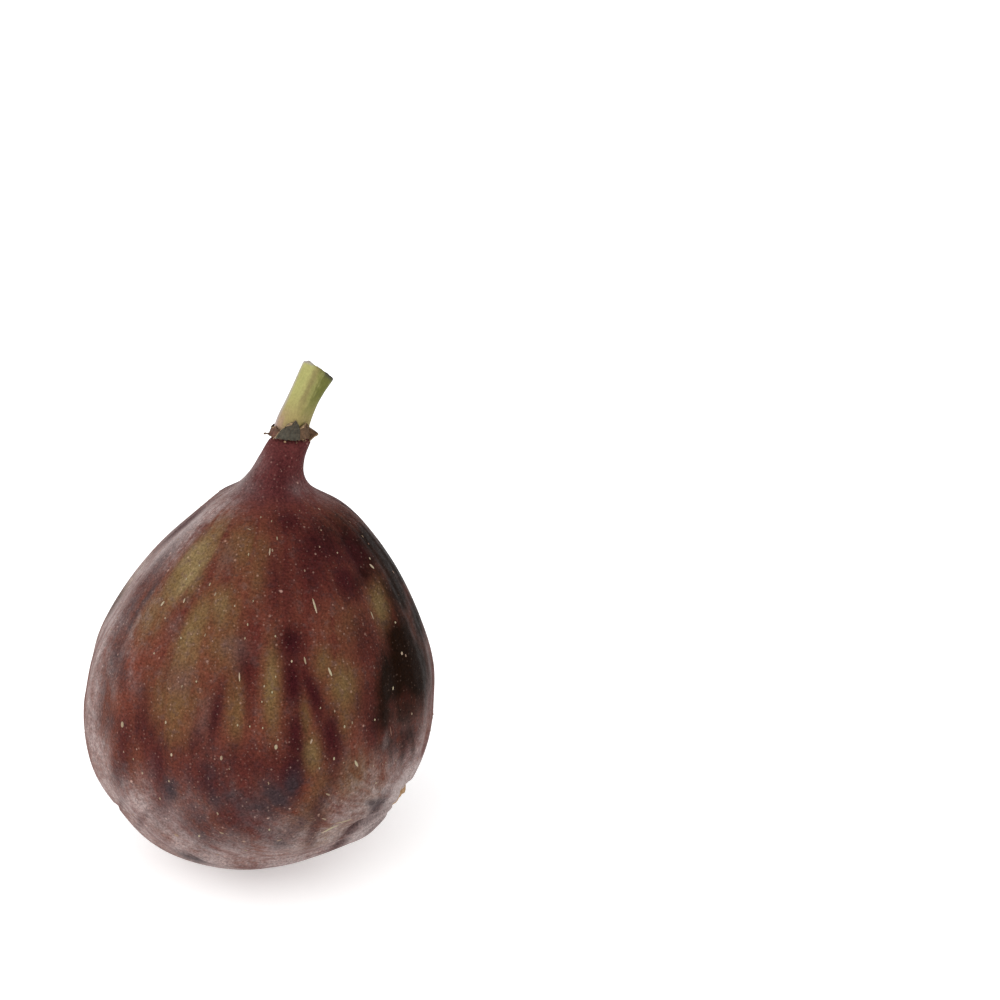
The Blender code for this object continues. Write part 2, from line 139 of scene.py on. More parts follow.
# Marks of the skin, each a soft patch: degrees round the fruit, share of the way from neck to eye, half its
# width and half its length in millimetres, how far it is turned from the rib in degrees, strength
SKIN_MARKS = {
    "olive": [
        (-88, 0.776, 2.0, 2.0, 87, 0.4), (-123, 0.34, 0.7, 2.2, -10, 0.55),
        (-132, 0.318, 1.5, 5.3, -7, 1.0), (-137, 0.378, 2.1, 2.9, -4, 0.65),
        (-116, 0.376, 1.7, 4.0, -12, 0.75), (-106, 0.354, 1.9, 3.2, 17, 0.6),
        (-102, 0.391, 2.0, 2.5, 13, 0.55), (-115, 0.446, 3.4, 3.8, 0, 0.55),
        (-116, 0.414, 1.8, 3.2, -5, 0.55), (-107, 0.278, 2.2, 3.0, 5, 0.5), (-94, 0.276, 0.9, 2.0, 9, 0.4),
        (-95, 0.446, 1.2, 3.7, 6, 0.6), (-84, 0.428, 1.1, 4.8, 4, 0.8), (-59, 0.436, 2.1, 3.4, 5, 0.75),
        (-66, 0.403, 1.3, 1.9, -4, 0.65), (-59, 0.47, 1.2, 2.5, -1, 0.6), (-73, 0.461, 0.6, 2.5, 7, 0.7),
        (-71, 0.511, 1.4, 2.3, 4, 0.8), (-32, 0.354, 1.6, 3.2, -18, 0.8), (-52, 0.368, 3.1, 2.6, -4, 0.3),
        (-114, 0.473, 2.4, 1.9, 5, 0.45), (-96, 0.305, 1.3, 3.8, 11, 0.35),
        (-58, 0.601, 2.5, 2.9, -45, 0.55), (-70, 0.604, 1.7, 3.4, -44, 0.45),
        (-82, 0.671, 2.2, 4.0, -72, 0.45), (-94, 0.776, 2.4, 3.9, 23, 0.45),
        (-61, 0.739, 3.2, 3.4, 68, 0.35),
    ],
    "yellow": [
        (-128, 0.328, 1.0, 3.6, -10, 0.9), (-132, 0.348, 0.8, 1.6, -13, 0.55),
        (-132, 0.306, 1.0, 2.6, -8, 0.8), (-130, 0.261, 1.0, 1.7, 6, 0.4),
        (-116, 0.378, 0.9, 2.8, -9, 0.35), (-107, 0.349, 1.1, 1.5, 18, 0.3), (-84, 0.423, 0.6, 3.5, 4, 0.2),
        (-58, 0.428, 1.3, 2.0, 4, 0.15), (-71, 0.509, 0.8, 1.4, -2, 0.35),
        (-31, 0.355, 0.9, 2.1, -18, 0.45), (-116, 0.399, 1.2, 1.9, -3, 0.25),
    ],
    "red": [
        (-135, 0.428, 1.7, 4.8, 15, 0.85), (-128, 0.371, 1.2, 2.9, -15, 0.55),
        (-128, 0.404, 1.4, 2.9, -3, 0.55), (-96, 0.486, 4.0, 3.0, 2, 0.8), (-109, 0.476, 2.3, 2.2, 4, 0.5),
        (-46, 0.406, 1.7, 3.7, -9, 0.6), (-45, 0.334, 2.5, 2.6, 1, 0.45), (-42, 0.375, 1.6, 2.0, -11, 0.55),
        (-124, 0.215, 2.4, 2.5, 19, 0.45), (-92, 0.208, 1.7, 2.4, 2, 0.4), (-134, 0.461, 1.2, 3.4, 9, 0.5),
        (-107, 0.5, 3.4, 2.3, -1, 0.45), (-50, 0.478, 1.9, 2.9, -2, 0.7), (-93, 0.456, 2.3, 2.1, 5, 0.5),
        (-64, 0.354, 2.2, 2.9, -1, 0.35), (-98, 0.329, 1.3, 3.8, 12, 0.3),
    ],
    # Wine: plum streaks of the skin; the thin ones along the creases (-92 at 0.835, -89 at 0.688, -142 at
    # 0.615, -152 at 0.598) and the one on the neck's right side (-55 at 0.12) are painted shade
    "wine": [
        (-92, 0.835, 1.0, 4.2, 47, 0.75), (-84, 0.706, 0.8, 5.0, -63, 0.6),
        (-142, 0.615, 0.3, 5.0, -73, 0.6), (-152, 0.598, 0.3, 5.0, -72, 0.6),
        (-54, 0.291, 3.1, 4.4, -23, 0.6), (-126, 0.358, 0.7, 4.1, -19, 0.15),
        (-156, 0.334, 1.8, 5.8, 6, 0.4), (-150, 0.378, 1.4, 4.4, -1, 0.35),
        (-101, 0.455, 0.9, 3.9, -4, 0.75), (-106, 0.483, 1.4, 2.7, -16, 0.6),
        (-120, 0.509, 1.6, 3.7, -11, 0.7), (-127, 0.469, 1.3, 4.1, 7, 0.65),
        (-132, 0.49, 1.3, 3.5, 1, 0.55), (-78, 0.379, 1.6, 2.2, 1, 0.9), (-77, 0.42, 1.2, 3.8, 4, 0.9),
        (-76, 0.484, 1.2, 4.1, 3, 0.85), (-77, 0.529, 1.6, 3.4, -14, 0.9), (-70, 0.436, 0.9, 3.7, 23, 0.85),
        (-64, 0.496, 1.3, 3.5, 8, 0.85), (-64, 0.558, 1.1, 2.6, -20, 0.5), (-72, 0.628, 1.2, 2.4, -74, 0.6),
        (-89, 0.688, 1.4, 3.5, 90, 0.55), (-90, 0.505, 4.3, 2.6, -1, 0.6), (-104, 0.525, 3.2, 3.2, -9, 0.7),
        (-112, 0.501, 1.5, 3.2, -12, 0.45), (-93, 0.406, 1.0, 2.5, 13, 0.6),
        (-91, 0.439, 0.6, 3.0, 10, 0.45), (-82, 0.314, 2.0, 4.8, 2, 0.5), (-75, 0.225, 2.1, 2.0, -17, 0.75),
        (-54, 0.273, 3.9, 3.7, -1, 0.8), (-31, 0.288, 3.0, 3.1, -7, 0.95), (-49, 0.32, 2.3, 2.9, 1, 0.85),
        (-46, 0.385, 2.4, 3.4, 0, 0.6), (-68, 0.303, 1.8, 3.9, 1, 0.6), (-34, 0.315, 2.1, 2.1, -9, 0.8),
        (-48, 0.505, 1.4, 2.3, 0, 0.6), (-51, 0.462, 2.0, 2.6, 0, 0.55), (-102, 0.608, 2.8, 1.9, -34, 0.55),
        (-114, 0.594, 2.2, 3.5, -43, 0.5), (-122, 0.568, 1.5, 4.5, -41, 0.5),
        (-42, 0.385, 1.3, 2.1, -21, 0.4), (-139, 0.139, 2.6, 3.0, 52, 0.35),
        (-77, 0.124, 2.1, 3.1, 11, 0.45), (-123, 0.48, 1.0, 2.3, -6, 0.5), (-55, 0.12, 1.5, 3.5, 0, 0.3),
        (-88, 0.868, 3.0, 1.3, -87, 0.5), (-36, 0.655, 2.0, 2.5, 0, 0.3), (-131, 0.856, 0.9, 2.0, 47, 0.65),
        (-154, 0.953, 0.3, 2.9, -48, 0.4), (-134, 0.925, 0.3, 2.1, -1, 0.4),
    ],
    "slate": [
        (-144, 0.695, 1.9, 2.3, -56, 0.8), (-65, 0.781, 1.2, 0.5, 73, 0.8),
        (-107, 0.656, 2.2, 3.6, 81, 0.35), (-145, 0.426, 1.8, 3.9, 14, 0.5),
        (-138, 0.433, 1.1, 2.2, 29, 0.5), (-145, 0.464, 1.7, 4.1, 15, 0.35),
        (-142, 0.475, 3.0, 1.5, 12, 0.4), (-117, 0.546, 1.1, 1.5, -21, 0.9),
        (-96, 0.568, 3.7, 1.9, -16, 0.6), (-84, 0.578, 2.5, 1.5, -74, 0.95),
        (-89, 0.594, 2.6, 1.4, -81, 0.8), (-78, 0.555, 1.0, 1.9, -31, 0.75),
        (-118, 0.643, 1.5, 4.3, -53, 0.45), (-112, 0.658, 4.4, 2.2, -53, 0.4),
        (-97, 0.674, 3.1, 1.4, 66, 0.45), (-152, 0.37, 1.0, 5.2, -5, 0.3), (-152, 0.34, 0.7, 2.7, 0, 0.3),
        (-138, 0.534, 1.3, 2.7, -33, 0.5), (-68, 0.823, 1.6, 1.4, 68, 0.7),
        (-100, 0.506, 1.4, 2.3, -2, 0.35), (-32, 0.575, 2.6, 1.4, -4, 0.45),
        (-37, 0.565, 0.8, 0.9, -24, 0.4), (-143, 0.42, 0.6, 4.0, 58, 0.5), (-146, 0.388, 0.5, 3.0, 2, 0.6),
        (-145, 0.36, 0.5, 2.7, -6, 0.55), (-90, 0.595, 1.9, 0.9, -27, 0.85),
    ],
    # Dark: a dark patch of the skin on the right; the marks nearest the neck there, from about -23 to 3
    # degrees below share 0.40, are a painted shadow cast on the upper right shoulder
    "dark": [
        (3, 0.346, 1.7, 5.0, 76, 0.9), (-23, 0.306, 1.1, 4.6, -69, 0.6), (-26, 0.42, 3.1, 6.8, -19, 1.0),
        (-22, 0.445, 5.4, 5.4, -6, 1.0), (-29, 0.398, 1.9, 2.8, -22, 1.0), (-39, 0.446, 2.1, 4.2, -20, 1.0),
        (-42, 0.495, 2.0, 2.6, -1, 0.85), (-33, 0.44, 2.2, 5.4, -10, 0.95), (-30, 0.505, 3.5, 2.6, 0, 0.75),
        (-40, 0.545, 2.1, 2.1, 6, 0.55), (-30, 0.575, 3.1, 1.6, -3, 0.5), (-14, 0.351, 3.4, 4.1, -20, 0.95),
        (-4, 0.32, 5.0, 4.1, -6, 0.95), (-9, 0.285, 3.9, 3.3, 8, 0.9), (-6, 0.394, 2.9, 4.4, -38, 0.9),
        (-19, 0.244, 5.0, 2.4, -3, 0.55), (-80, 0.373, 0.6, 0.8, 1, 0.3), (-32, 0.613, 0.6, 2.7, -3, 0.6),
        (-27, 0.613, 0.5, 2.9, 7, 0.6), (-39, 0.586, 0.5, 1.7, -5, 0.45),
    ],
    # Bloom: grey bloom of the skin, and painted sheen: the pale rims along the left side, the neck's left and
    # the right outline, a highlight beside the lower crease and small highlight spots by the dark patch
    "bloom_and_sheen": [
        (-158, 0.915, 4.8, 5.0, 85, 0.8), (-102, 0.843, 1.6, 2.3, 49, 0.6), (-54, 0.789, 1.2, 1.5, 35, 0.8),
        (-138, 0.675, 1.3, 1.5, -7, 0.6), (-148, 0.43, 1.1, 3.9, 48, 0.35),
        (-134, 0.429, 0.9, 3.4, 31, 0.12), (-70, 0.648, 1.6, 1.7, -71, 0.25),
        (-154, 0.719, 6.0, 5.0, -83, 0.7), (-138, 0.794, 4.7, 5.0, -76, 0.7),
        (-153, 0.479, 1.9, 5.6, 19, 0.6), (-156, 0.441, 2.3, 4.9, 24, 0.6),
        (-169, 0.405, 6.9, 4.9, 41, 0.6), (-183, 0.368, 4.6, 4.2, 18, 0.6),
        (-184, 0.316, 4.0, 4.4, -2, 0.65), (-159, 0.236, 3.0, 3.4, -33, 0.6), (-164, 0.3, 3.2, 6.5, 5, 1.0),
        (-177, 0.186, 3.2, 3.0, 46, 0.6), (-172, 0.113, 2.0, 2.0, 42, 0.45),
        (-143, 0.404, 0.8, 4.8, 4, 0.25), (-148, 0.528, 2.9, 4.5, -6, 0.55),
        (-146, 0.578, 8.0, 4.0, -15, 0.6), (-139, 0.621, 9.0, 3.4, 0, 0.6), (-131, 0.659, 3.5, 3.4, 2, 0.6),
        (-121, 0.703, 3.3, 4.6, -65, 0.5), (-101, 0.723, 4.0, 3.6, 32, 0.6),
        (-96, 0.619, 2.1, 2.7, -36, 0.15), (-100, 0.801, 4.0, 4.4, 17, 0.5),
        (-81, 0.849, 4.4, 7.0, -36, 0.55), (-58, 0.636, 3.3, 4.2, -70, 0.12),
        (-134, 0.705, 3.0, 3.0, 0, 0.85), (-75, 0.745, 3.5, 2.6, 0, 0.35), (-46, 0.811, 5.0, 3.3, 72, 0.55),
        (-24, 0.751, 2.7, 4.4, -15, 0.5), (-15, 0.571, 2.2, 3.4, -15, 0.35),
        (-8, 0.465, 0.9, 4.8, -25, 0.45), (2, 0.383, 1.2, 4.0, -20, 0.3), (-42, 0.548, 0.5, 1.1, -21, 0.5),
        (-37, 0.158, 1.5, 1.4, -7, 0.2), (-3, 0.195, 1.7, 2.0, -81, 0.12), (-123, 0.53, 0.8, 2.6, -20, 0.2),
        (-96, 0.551, 0.5, 2.0, -15, 0.15), (-30, 0.533, 2.0, 2.0, 1, 0.15),
        (-110, 0.561, 1.9, 2.8, -23, 0.25), (-189, 0.276, 5.3, 3.4, 26, 0.35),
        (-41, 0.556, 0.5, 0.8, -50, 0.5),
    ],
    "haze": [
        (-96, 0.39, 1.6, 1.5, 10, 0.6), (-115, 0.425, 1.6, 1.6, 18, 0.45), (-104, 0.459, 1.1, 2.9, -9, 0.6),
        (-101, 0.386, 0.8, 1.0, 13, 0.5), (-124, 0.38, 0.8, 1.4, 0, 0.45), (-112, 0.3, 1.0, 2.0, 10, 0.4),
    ],
}
# On the side that the photograph doesn't show, the marks are drawn by lot: how many of each, the ranges of
# share, half width and half length in millimetres, and strength
FAR_SIDE_SEED = 11
FAR_SIDE_DEGREES = (18.0, 172.0)
FAR_SIDE_SCATTER = (-8, 8)
FAR_SIDE_TURNS = (-25.0, 25.0)
FAR_SIDE_MARKS = {
    "olive": (16, (0.26, 0.50), (1.2, 3.0), (2.5, 5.0), (0.5, 1.0)),
    "yellow": (7, (0.28, 0.46), (0.6, 1.3), (1.5, 3.2), (0.4, 0.8)),
    "red": (12, (0.24, 0.58), (1.4, 3.0), (2.4, 4.5), (0.4, 0.8)),
    "wine": (24, (0.22, 0.62), (0.9, 2.4), (2.5, 5.0), (0.5, 1.0)),
    "dark": (3, (0.40, 0.60), (1.4, 3.0), (2.0, 3.5), (0.4, 0.8)),
    "slate": (6, (0.40, 0.72), (1.2, 3.5), (1.5, 4.0), (0.4, 0.8)),
    "bloom_and_sheen": (12, (0.60, 0.86), (3.5, 7.0), (3.0, 6.0), (0.4, 0.7)),
    "haze": (10, (0.28, 0.56), (0.8, 1.8), (1.2, 3.0), (0.3, 0.6)),
}
# How steeply a mark fades at its edge, and how far it reaches past its half width and length
MARK_EDGE = 1.2
MARK_REACH = 1.3
# Where the plum of the neck ends
NECK_COLOUR_END = 0.24
NECK_COLOUR_FADE = 0.10
# The bloom of the underside, made paler as painted light thrown up from the floor
UNDERSIDE_START = 0.78
UNDERSIDE_FADE = 0.12
UNDERSIDE_BLOOM_AND_BOUNCE = 0.90
# How fast the skin's streaks change along the fruit, against round it
STREAK_LENGTH = 0.7
# Creases of the skin in the same way as the marks, with their depth in millimetres as the last, which is
# negative for a ridge
CREASES = [
    (-94.2, 0.945, 0.47, 3.87, -2, -0.2), (-127.0, 0.879, 0.65, 2.32, 19, -0.4),
    (-91.5, 0.836, 0.6, 4.2, 47, 0.6), (-56.8, 0.785, 0.69, 1.32, 32, 0.35),
    (-155.8, 0.601, 0.4, 1.9, -77, 0.4), (-142.0, 0.616, 0.35, 1.7, -74, 0.35),
    (-138.2, 0.688, 0.6, 2.0, -24, 0.4), (-139.8, 0.674, 1.2, 1.83, -6, -0.2),
    (-81.2, 0.696, 0.75, 3.73, -89, 0.15), (-134.2, 0.389, 0.46, 6.61, -11, 0.12),
    (-135.0, 0.426, 0.47, 5.6, -9, 0.12), (-134.8, 0.36, 0.44, 5.93, -14, 0.12),
    (-135.5, 0.403, 0.45, 6.04, -8, -0.1), (-75.8, 0.429, 0.7, 7.78, 1, 0.12),
    (-62.5, 0.509, 0.75, 6.07, -1, 0.1), (-69.5, 0.493, 0.73, 5.99, 0, -0.08),
    (-83.8, 0.439, 0.8, 6.56, 4, -0.08), (-100.8, 0.458, 0.82, 5.66, -2, 0.1),
    (-119.2, 0.481, 1.05, 5.96, 5, 0.1),
]
MILLIMETRE = 0.001

FRUIT_SEGMENTS = 440
FRUIT_RINGS = 220


def smooth_step(x):
    """Runs from 0 to 1 with flat ends."""
    x = np.clip(x, 0.0, 1.0)
    return x * x * (3.0 - 2.0 * x)


def curve_through(points, share):
    """Smooth curve through evenly numbered points, share from 0 at the first to 1 at the last."""
    points = np.asarray(points, float)
    last = len(points) - 1
    place = np.clip(np.asarray(share, float), 0.0, 1.0) * last
    index = np.minimum(place.astype(int), last - 1)
    f = (place - index)[..., None]
    padded = np.concatenate([[2 * points[0] - points[1]], points, [2 * points[-1] - points[-2]]])
    a, b, c, d = (padded[index + k] for k in range(4))
    return b + 0.5 * f * (c - a + f * (2 * a - 5 * b + 4 * c - d + f * (3 * (b - c) + d - a)))


def outline(share):
    """Radius and height over the widest ring: share 0 on the axis at the neck, 0.5 widest, 1 lowest."""
    share = np.asarray(share, float)
    points = [(WIDEST_RADIUS * r, NECK_HEIGHT * h) for h, r in UPPER_OUTLINE]
    upper = curve_through(points, (share - NECK_CAP) / (0.5 - NECK_CAP))
    neck_radius = points[0][0]
    cap = np.clip(share / NECK_CAP, 0.0, 1.0)
    sleeve = NECK_SLEEVE * smooth_step((1.0 - cap) / NECK_SLEEVE_WIDTH)
    top = np.stack([neck_radius * cap, NECK_HEIGHT + sleeve], -1)
    angle = np.clip(share - 0.5, 0.0, 0.5) * math.pi
    lower = np.stack([
        WIDEST_RADIUS * np.cos(angle) ** LOWER_FULLNESS,
        -DEPTH_BELOW * np.sin(angle) ** LOWER_FULLNESS,
    ], -1)
    shape = np.where((share < 0.5)[..., None], upper, lower)
    return np.where((share < NECK_CAP)[..., None], top, shape)


def lean(points):
    """Tips points of the upright fruit into the way it stands, over the rest spot."""
    x, y, z = np.moveaxis(np.asarray(points, float), -1, 0)
    x, z = (x * math.cos(LEAN_RIGHT) + z * math.sin(LEAN_RIGHT),
            z * math.cos(LEAN_RIGHT) - x * math.sin(LEAN_RIGHT))
    y, z = (y * math.cos(LEAN_BACK) + z * math.sin(LEAN_BACK),
            z * math.cos(LEAN_BACK) - y * math.sin(LEAN_BACK))
    return np.stack([x - REST_SPOT_FROM_AXIS[0], y - REST_SPOT_FROM_AXIS[1], z + WIDEST_HEIGHT], -1)


def eye_direction():
    """Where the eye lies from the middle of the upright fruit."""
    level = math.sin(EYE_TURN)
    return np.array([level * math.cos(EYE_AZIMUTH), level * math.sin(EYE_AZIMUTH), -math.cos(EYE_TURN)])


def angle_from(direction, middle):
    """Angle between the directions and one middle direction, which may be of any length."""
    middle = np.array(middle) / math.hypot(*middle)
    return np.arccos(np.clip(direction @ middle, -1.0, 1.0))


def relief(ring, azimuth, direction, from_eye):
    """Height of ribs, folds, wrinkles, dents and the eye's pit over the plain form."""
    body = smooth_step((ring - RIBS_START) / RIBS_RISE) * smooth_step(from_eye / RIBS_EYE_ANGLE)
    from_rest = angle_from(direction, SEAT_DIRECTION)
    body *= smooth_step(from_rest / PRESSED_REACH)
    height = SEAT_FULLNESS * np.exp(-(from_rest / SEAT_REACH) ** 2)
    for count, rise, start in RIBS:
        height = height + rise * body * np.cos(count * azimuth + start)
    wrinkled = smooth_step((ring - WRINKLES_START) / WRINKLES_RISE)
    wrinkled = wrinkled * smooth_step(from_eye / WRINKLES_EYE_ANGLE)
    for count, rise, start, wander in WRINKLES:
        waves = WRINKLE_WAVES[0] * ring + WRINKLE_WAVES[1] * azimuth + start
        path = count * azimuth + start + wander * np.sin(waves)
        height += rise * wrinkled * np.cos(path)
    count, rise, start = EYE_FOLDS
    near = smooth_step(from_eye / EYE_FOLDS_START) * smooth_step((EYE_FOLDS_END - from_eye) / EYE_FOLDS_FADE)
    height += rise * near * np.cos(count * azimuth + start)
    for x, y, z, reach, depth in DENTS:
        height -= depth * np.exp(-(angle_from(direction, (x, y, z)) / reach) ** 2)
    distance = from_eye * WIDEST_RADIUS
    height += EYE_LIP_HEIGHT * np.exp(-(distance / EYE_LIP_RADIUS) ** 2)
    height -= (EYE_PIT_DEPTH + EYE_LIP_HEIGHT) * np.exp(-(distance / EYE_PIT_RADIUS) ** 4)
    return height


def share_of_ring(ring):
    """Share of the way from neck to eye of a ring; rings stand closer together near the eye."""
    return np.where(ring > 0.5, ring + RING_CROWDING * np.sin((ring - 0.5) * 2 * math.pi) / math.pi, ring)


def fig_surface(share, azimuth, creased=True):
    """Points of the fig. share runs from 0 at the neck to 1 at the eye, azimuth goes round the fruit."""
    polar = share * math.pi
    turn = EYE_TURN * smooth_step((share - EYE_TURN_START) / (1.0 - EYE_TURN_START))
    x, y, z = np.sin(polar) * np.cos(azimuth), np.sin(polar) * np.sin(azimuth), np.cos(polar)
    # The lower rings turn towards the eye, so that they close round it
    eye_x, eye_y = math.cos(EYE_AZIMUTH), math.sin(EYE_AZIMUTH)
    along, aside = x * eye_x + y * eye_y, y * eye_x - x * eye_y
    along, z = along * np.cos(turn) - z * np.sin(turn), along * np.sin(turn) + z * np.cos(turn)
    x, y = along * eye_x - aside * eye_y, along * eye_y + aside * eye_x
    direction = np.stack([x, y, z], -1)
    from_eye = angle_from(direction, eye_direction())

    around = np.arctan2(y, x)
    radius, height = np.moveaxis(outline(np.arccos(np.clip(z, -1.0, 1.0)) / math.pi), -1, 0)
    rise = relief(share, azimuth, direction, from_eye)
    rise -= EYE_FLATTENING * np.exp(-(from_eye / EYE_FLATTENING_WIDTH) ** 2)
    if creased:
        covers = covers_of(fig_surface(share, azimuth, False), CREASES)
        rise -= sum(cover * mark[-1] for cover, mark in zip(covers, CREASES)) * MILLIMETRE
    below = np.clip(-height / DEPTH_BELOW, 0.0, 1.0)
    cap_fade = smooth_step((share - NECK_CAP) / NECK_FADE)
    radius = radius + rise * np.sqrt(1.0 - below * below) * cap_fade
    height = height - rise * below
    right, back = neck_bend(height)
    places = lean(np.stack([right + radius * np.cos(around), back + radius * np.sin(around), height], -1))
    places[..., 2] = np.maximum(places[..., 2], 0.0)
    return places


def neck_bend(height):
    """How far right and back the middle line lies at a height over the widest ring."""
    past = np.maximum(height - BEND_START, 0.0)
    shift = NECK_SHIFT * smooth_step((height - NECK_SHIFT_START) / NECK_SHIFT_LENGTH)
    return BEND_RIGHT * past * past / 2 + shift, BEND_BACK * past * past / 2


def frame_from(origin, axis, side):
    """A placing matrix from an origin, its Z axis and a rough X axis."""
    z = Vector(axis).normalized()
    x = Vector(side)
    x = (x - z * x.dot(z)).normalized()
    return Matrix.Translation(Vector(origin)) @ Matrix((x, z.cross(x), z)).transposed().to_4x4()


def neck_frame():
    """Place and turn of the neck's flat top, with its Z out of the fruit."""
    base = np.array([*neck_bend(NECK_HEIGHT), NECK_HEIGHT])
    base, tip, side = lean(base + np.array([[0.0, 0.0, 0.0], [0.0, 0.0, 1.0], [1.0, 0.0, 0.0]]))
    return frame_from(base, tip - base, side - base)


@functools.lru_cache(maxsize=None)
def mark_frame(azimuth, share):
    """Place of the plain skin, and the directions along the rib and across it there."""
    shares, azimuths = np.array([[0, 0], [FEEL_STEP, 0], [0, FEEL_STEP]]).T + [[share], [azimuth]]
    here, further, beside = fig_surface(shares, azimuths, False)
    rib = (further - here) / np.linalg.norm(further - here)
    outward = np.cross(rib, beside - here)
    return here, rib, np.cross(outward / np.linalg.norm(outward), rib)


def covers_of(places, marks, reach=1.0):
    """How fully each of the marks covers each place, from 0 to 1."""
    for degrees, share, half_width, half_length, turned, _ in marks:
        here, rib, side = mark_frame(math.radians(degrees), share)
        turn = math.radians(turned)
        long_axis, wide_axis = (rib * math.cos(turn) + side * math.sin(turn),
                                side * math.cos(turn) - rib * math.sin(turn))
        away = (places - here) / MILLIMETRE
        depth = away @ np.cross(rib, side) / max(half_width, half_length)
        square = (away @ wide_axis / half_width) ** 2 + (away @ long_axis / half_length) ** 2 + depth ** 2
        yield np.exp(-(square / reach ** 2) ** MARK_EDGE)


def cover_of(places, marks):
    """How strongly a list of marks covers each place, from 0 to 1."""
    covers = [cover * mark[-1] for cover, mark in zip(covers_of(places, marks, MARK_REACH), marks)]
    return np.max(covers, axis=0)


def far_side_marks():
    """Marks for the side that the photograph doesn't show."""
    draw = np.random.default_rng(FAR_SIDE_SEED)
    marks = {}
    for name, (count, shares, widths, lengths, strengths) in FAR_SIDE_MARKS.items():
        degrees = np.linspace(*FAR_SIDE_DEGREES, count) + draw.uniform(*FAR_SIDE_SCATTER, count)
        ranges = (shares, widths, lengths, FAR_SIDE_TURNS, strengths)
        marks[name] = [(middle, *(draw.uniform(*limits) for limits in ranges)) for middle in degrees]
    return marks


def deselect_all():
    """Leaves edit mode and deselects everything."""
    if bpy.context.mode != "OBJECT":
        bpy.ops.object.mode_set(mode="OBJECT")
    bpy.ops.object.select_all(action="DESELECT")


def select_only(piece):
    """Only the piece is selected and active."""
    deselect_all()
    piece.select_set(True)
    bpy.context.view_layer.objects.active = piece


def points_of(piece):
    """The piece's points as an array."""
    values = np.empty(len(piece.data.vertices) * 3, np.float32)
    piece.data.vertices.foreach_get("co", values)
    return values.reshape(-1, 3).astype(float)


def set_points(piece, places):
    """Moves the piece's points."""
    piece.data.vertices.foreach_set("co", np.asarray(places, np.float32).ravel())
    piece.data.update()


def set_values(piece, name, values, kind="FLOAT"):
    """Stores a value or a vector for each point of the piece, which its material reads by name."""
    layer = piece.data.attributes.new(name, kind, "POINT")
    field = "value" if kind == "FLOAT" else "vector"
    layer.data.foreach_set(field, np.asarray(values, np.float32).ravel())


def placed(points, matrix):
    """The points moved by a placing matrix."""
    turn = np.array(matrix.to_3x3())
    return np.asarray(points) @ turn.T + np.array(matrix.translation)


def turned_about_z(points, angle):
    """The points turned about the Z axis."""
    x, y, z = np.moveaxis(points, -1, 0)
    cosine, sine = math.cos(angle), math.sin(angle)
    return np.stack([x * cosine - y * sine, x * sine + y * cosine, z], -1)


def finish_piece(piece, name, material, slot_name, *nodes):
    """Names a piece, gives it its material and lets it ride on the fig."""
    piece.name = name
    piece.data.name = name
    piece.data.materials.clear()
    piece.data.materials.append(material)
    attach(piece, BODY)
    if nodes:
        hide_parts(*nodes)
    return piece


def smooth_shaded(piece):
    """Shades the piece smooth all over."""
    select_only(piece)
    bpy.ops.object.shade_smooth()
    return piece


def select_parts(piece, kind, chosen):
    """Opens the piece in edit mode with only the chosen edges or faces selected."""
    select_only(piece)
    bpy.ops.object.mode_set(mode="EDIT")
    bpy.ops.mesh.select_mode(type=kind)
    bpy.ops.mesh.select_all(action="DESELECT")
    bpy.ops.object.mode_set(mode="OBJECT")
    parts = piece.data.edges if kind == "EDGE" else piece.data.polygons
    parts.foreach_set("select", np.asarray(chosen, bool))
    bpy.ops.object.mode_set(mode="EDIT")


def outward_faces(piece):
    """Turns all faces of closed shapes outwards."""
    select_parts(piece, "FACE", np.ones(len(piece.data.polygons), bool))
    bpy.ops.mesh.normals_make_consistent(inside=False)
    bpy.ops.object.mode_set(mode="OBJECT")
    return piece


def new_grid(context, across, up):
    """A flat grid, with each point's place across from -1 to 1 and up from 0 to 1."""
    deselect_all()
    bpy.ops.mesh.primitive_grid_add(x_subdivisions=across, y_subdivisions=up, size=2.0)
    grid = context.active_object
    x, y, _ = points_of(grid).T
    return grid, x, (y + 1.0) / 2.0


def thickened(piece, thickness):
    """Gives a thin sheet its thickness on the inner side."""
    select_only(piece)
    wall = piece.modifiers.new("wall", "SOLIDIFY")
    wall.thickness = thickness
    wall.offset = -1.0
    bpy.ops.object.modifier_apply(modifier=wall.name)
    return piece


def copy_of(piece):
    """A copy of the piece with its own mesh."""
    copy = piece.copy()
    copy.data = piece.data.copy()
    bpy.context.scene.collection.objects.link(copy)
    return copy


def joined(pieces):
    """All the pieces as one."""
    deselect_all()
    for piece in pieces:
        piece.select_set(True)
    bpy.context.view_layer.objects.active = pieces[0]
    bpy.ops.object.join()
    return pieces[0]


def add_node(tree, kind, sockets=None, **settings):
    """Adds a node, sets what it is told and links or fills its sockets."""
    item = tree.nodes.new(kind)
    for key, value in settings.items():
        setattr(item, key, value)
    for key, value in (sockets or {}).items():
        if isinstance(value, bpy.types.NodeSocket):
            tree.links.new(value, item.inputs[key])
        else:
            item.inputs[key].default_value = value
    return item


def compute(tree, operation, *values):
    """A maths node of the given values or sockets."""
    return add_node(tree, "ShaderNodeMath", dict(enumerate(values)), operation=operation).outputs[0]


def product(tree, first, *others):
    """All the values or sockets multiplied."""
    for value in others:
        first = compute(tree, "MULTIPLY", first, value)
    return first


def between(tree, value, low, high, to_low=0.0, to_high=1.0):
    """The value's smooth way from low to high."""
    sockets = {"Value": value, "From Min": low, "From Max": high, "To Min": to_low, "To Max": to_high}
    item = add_node(tree, "ShaderNodeMapRange", sockets, interpolation_type="SMOOTHSTEP")
    return item.outputs["Result"]


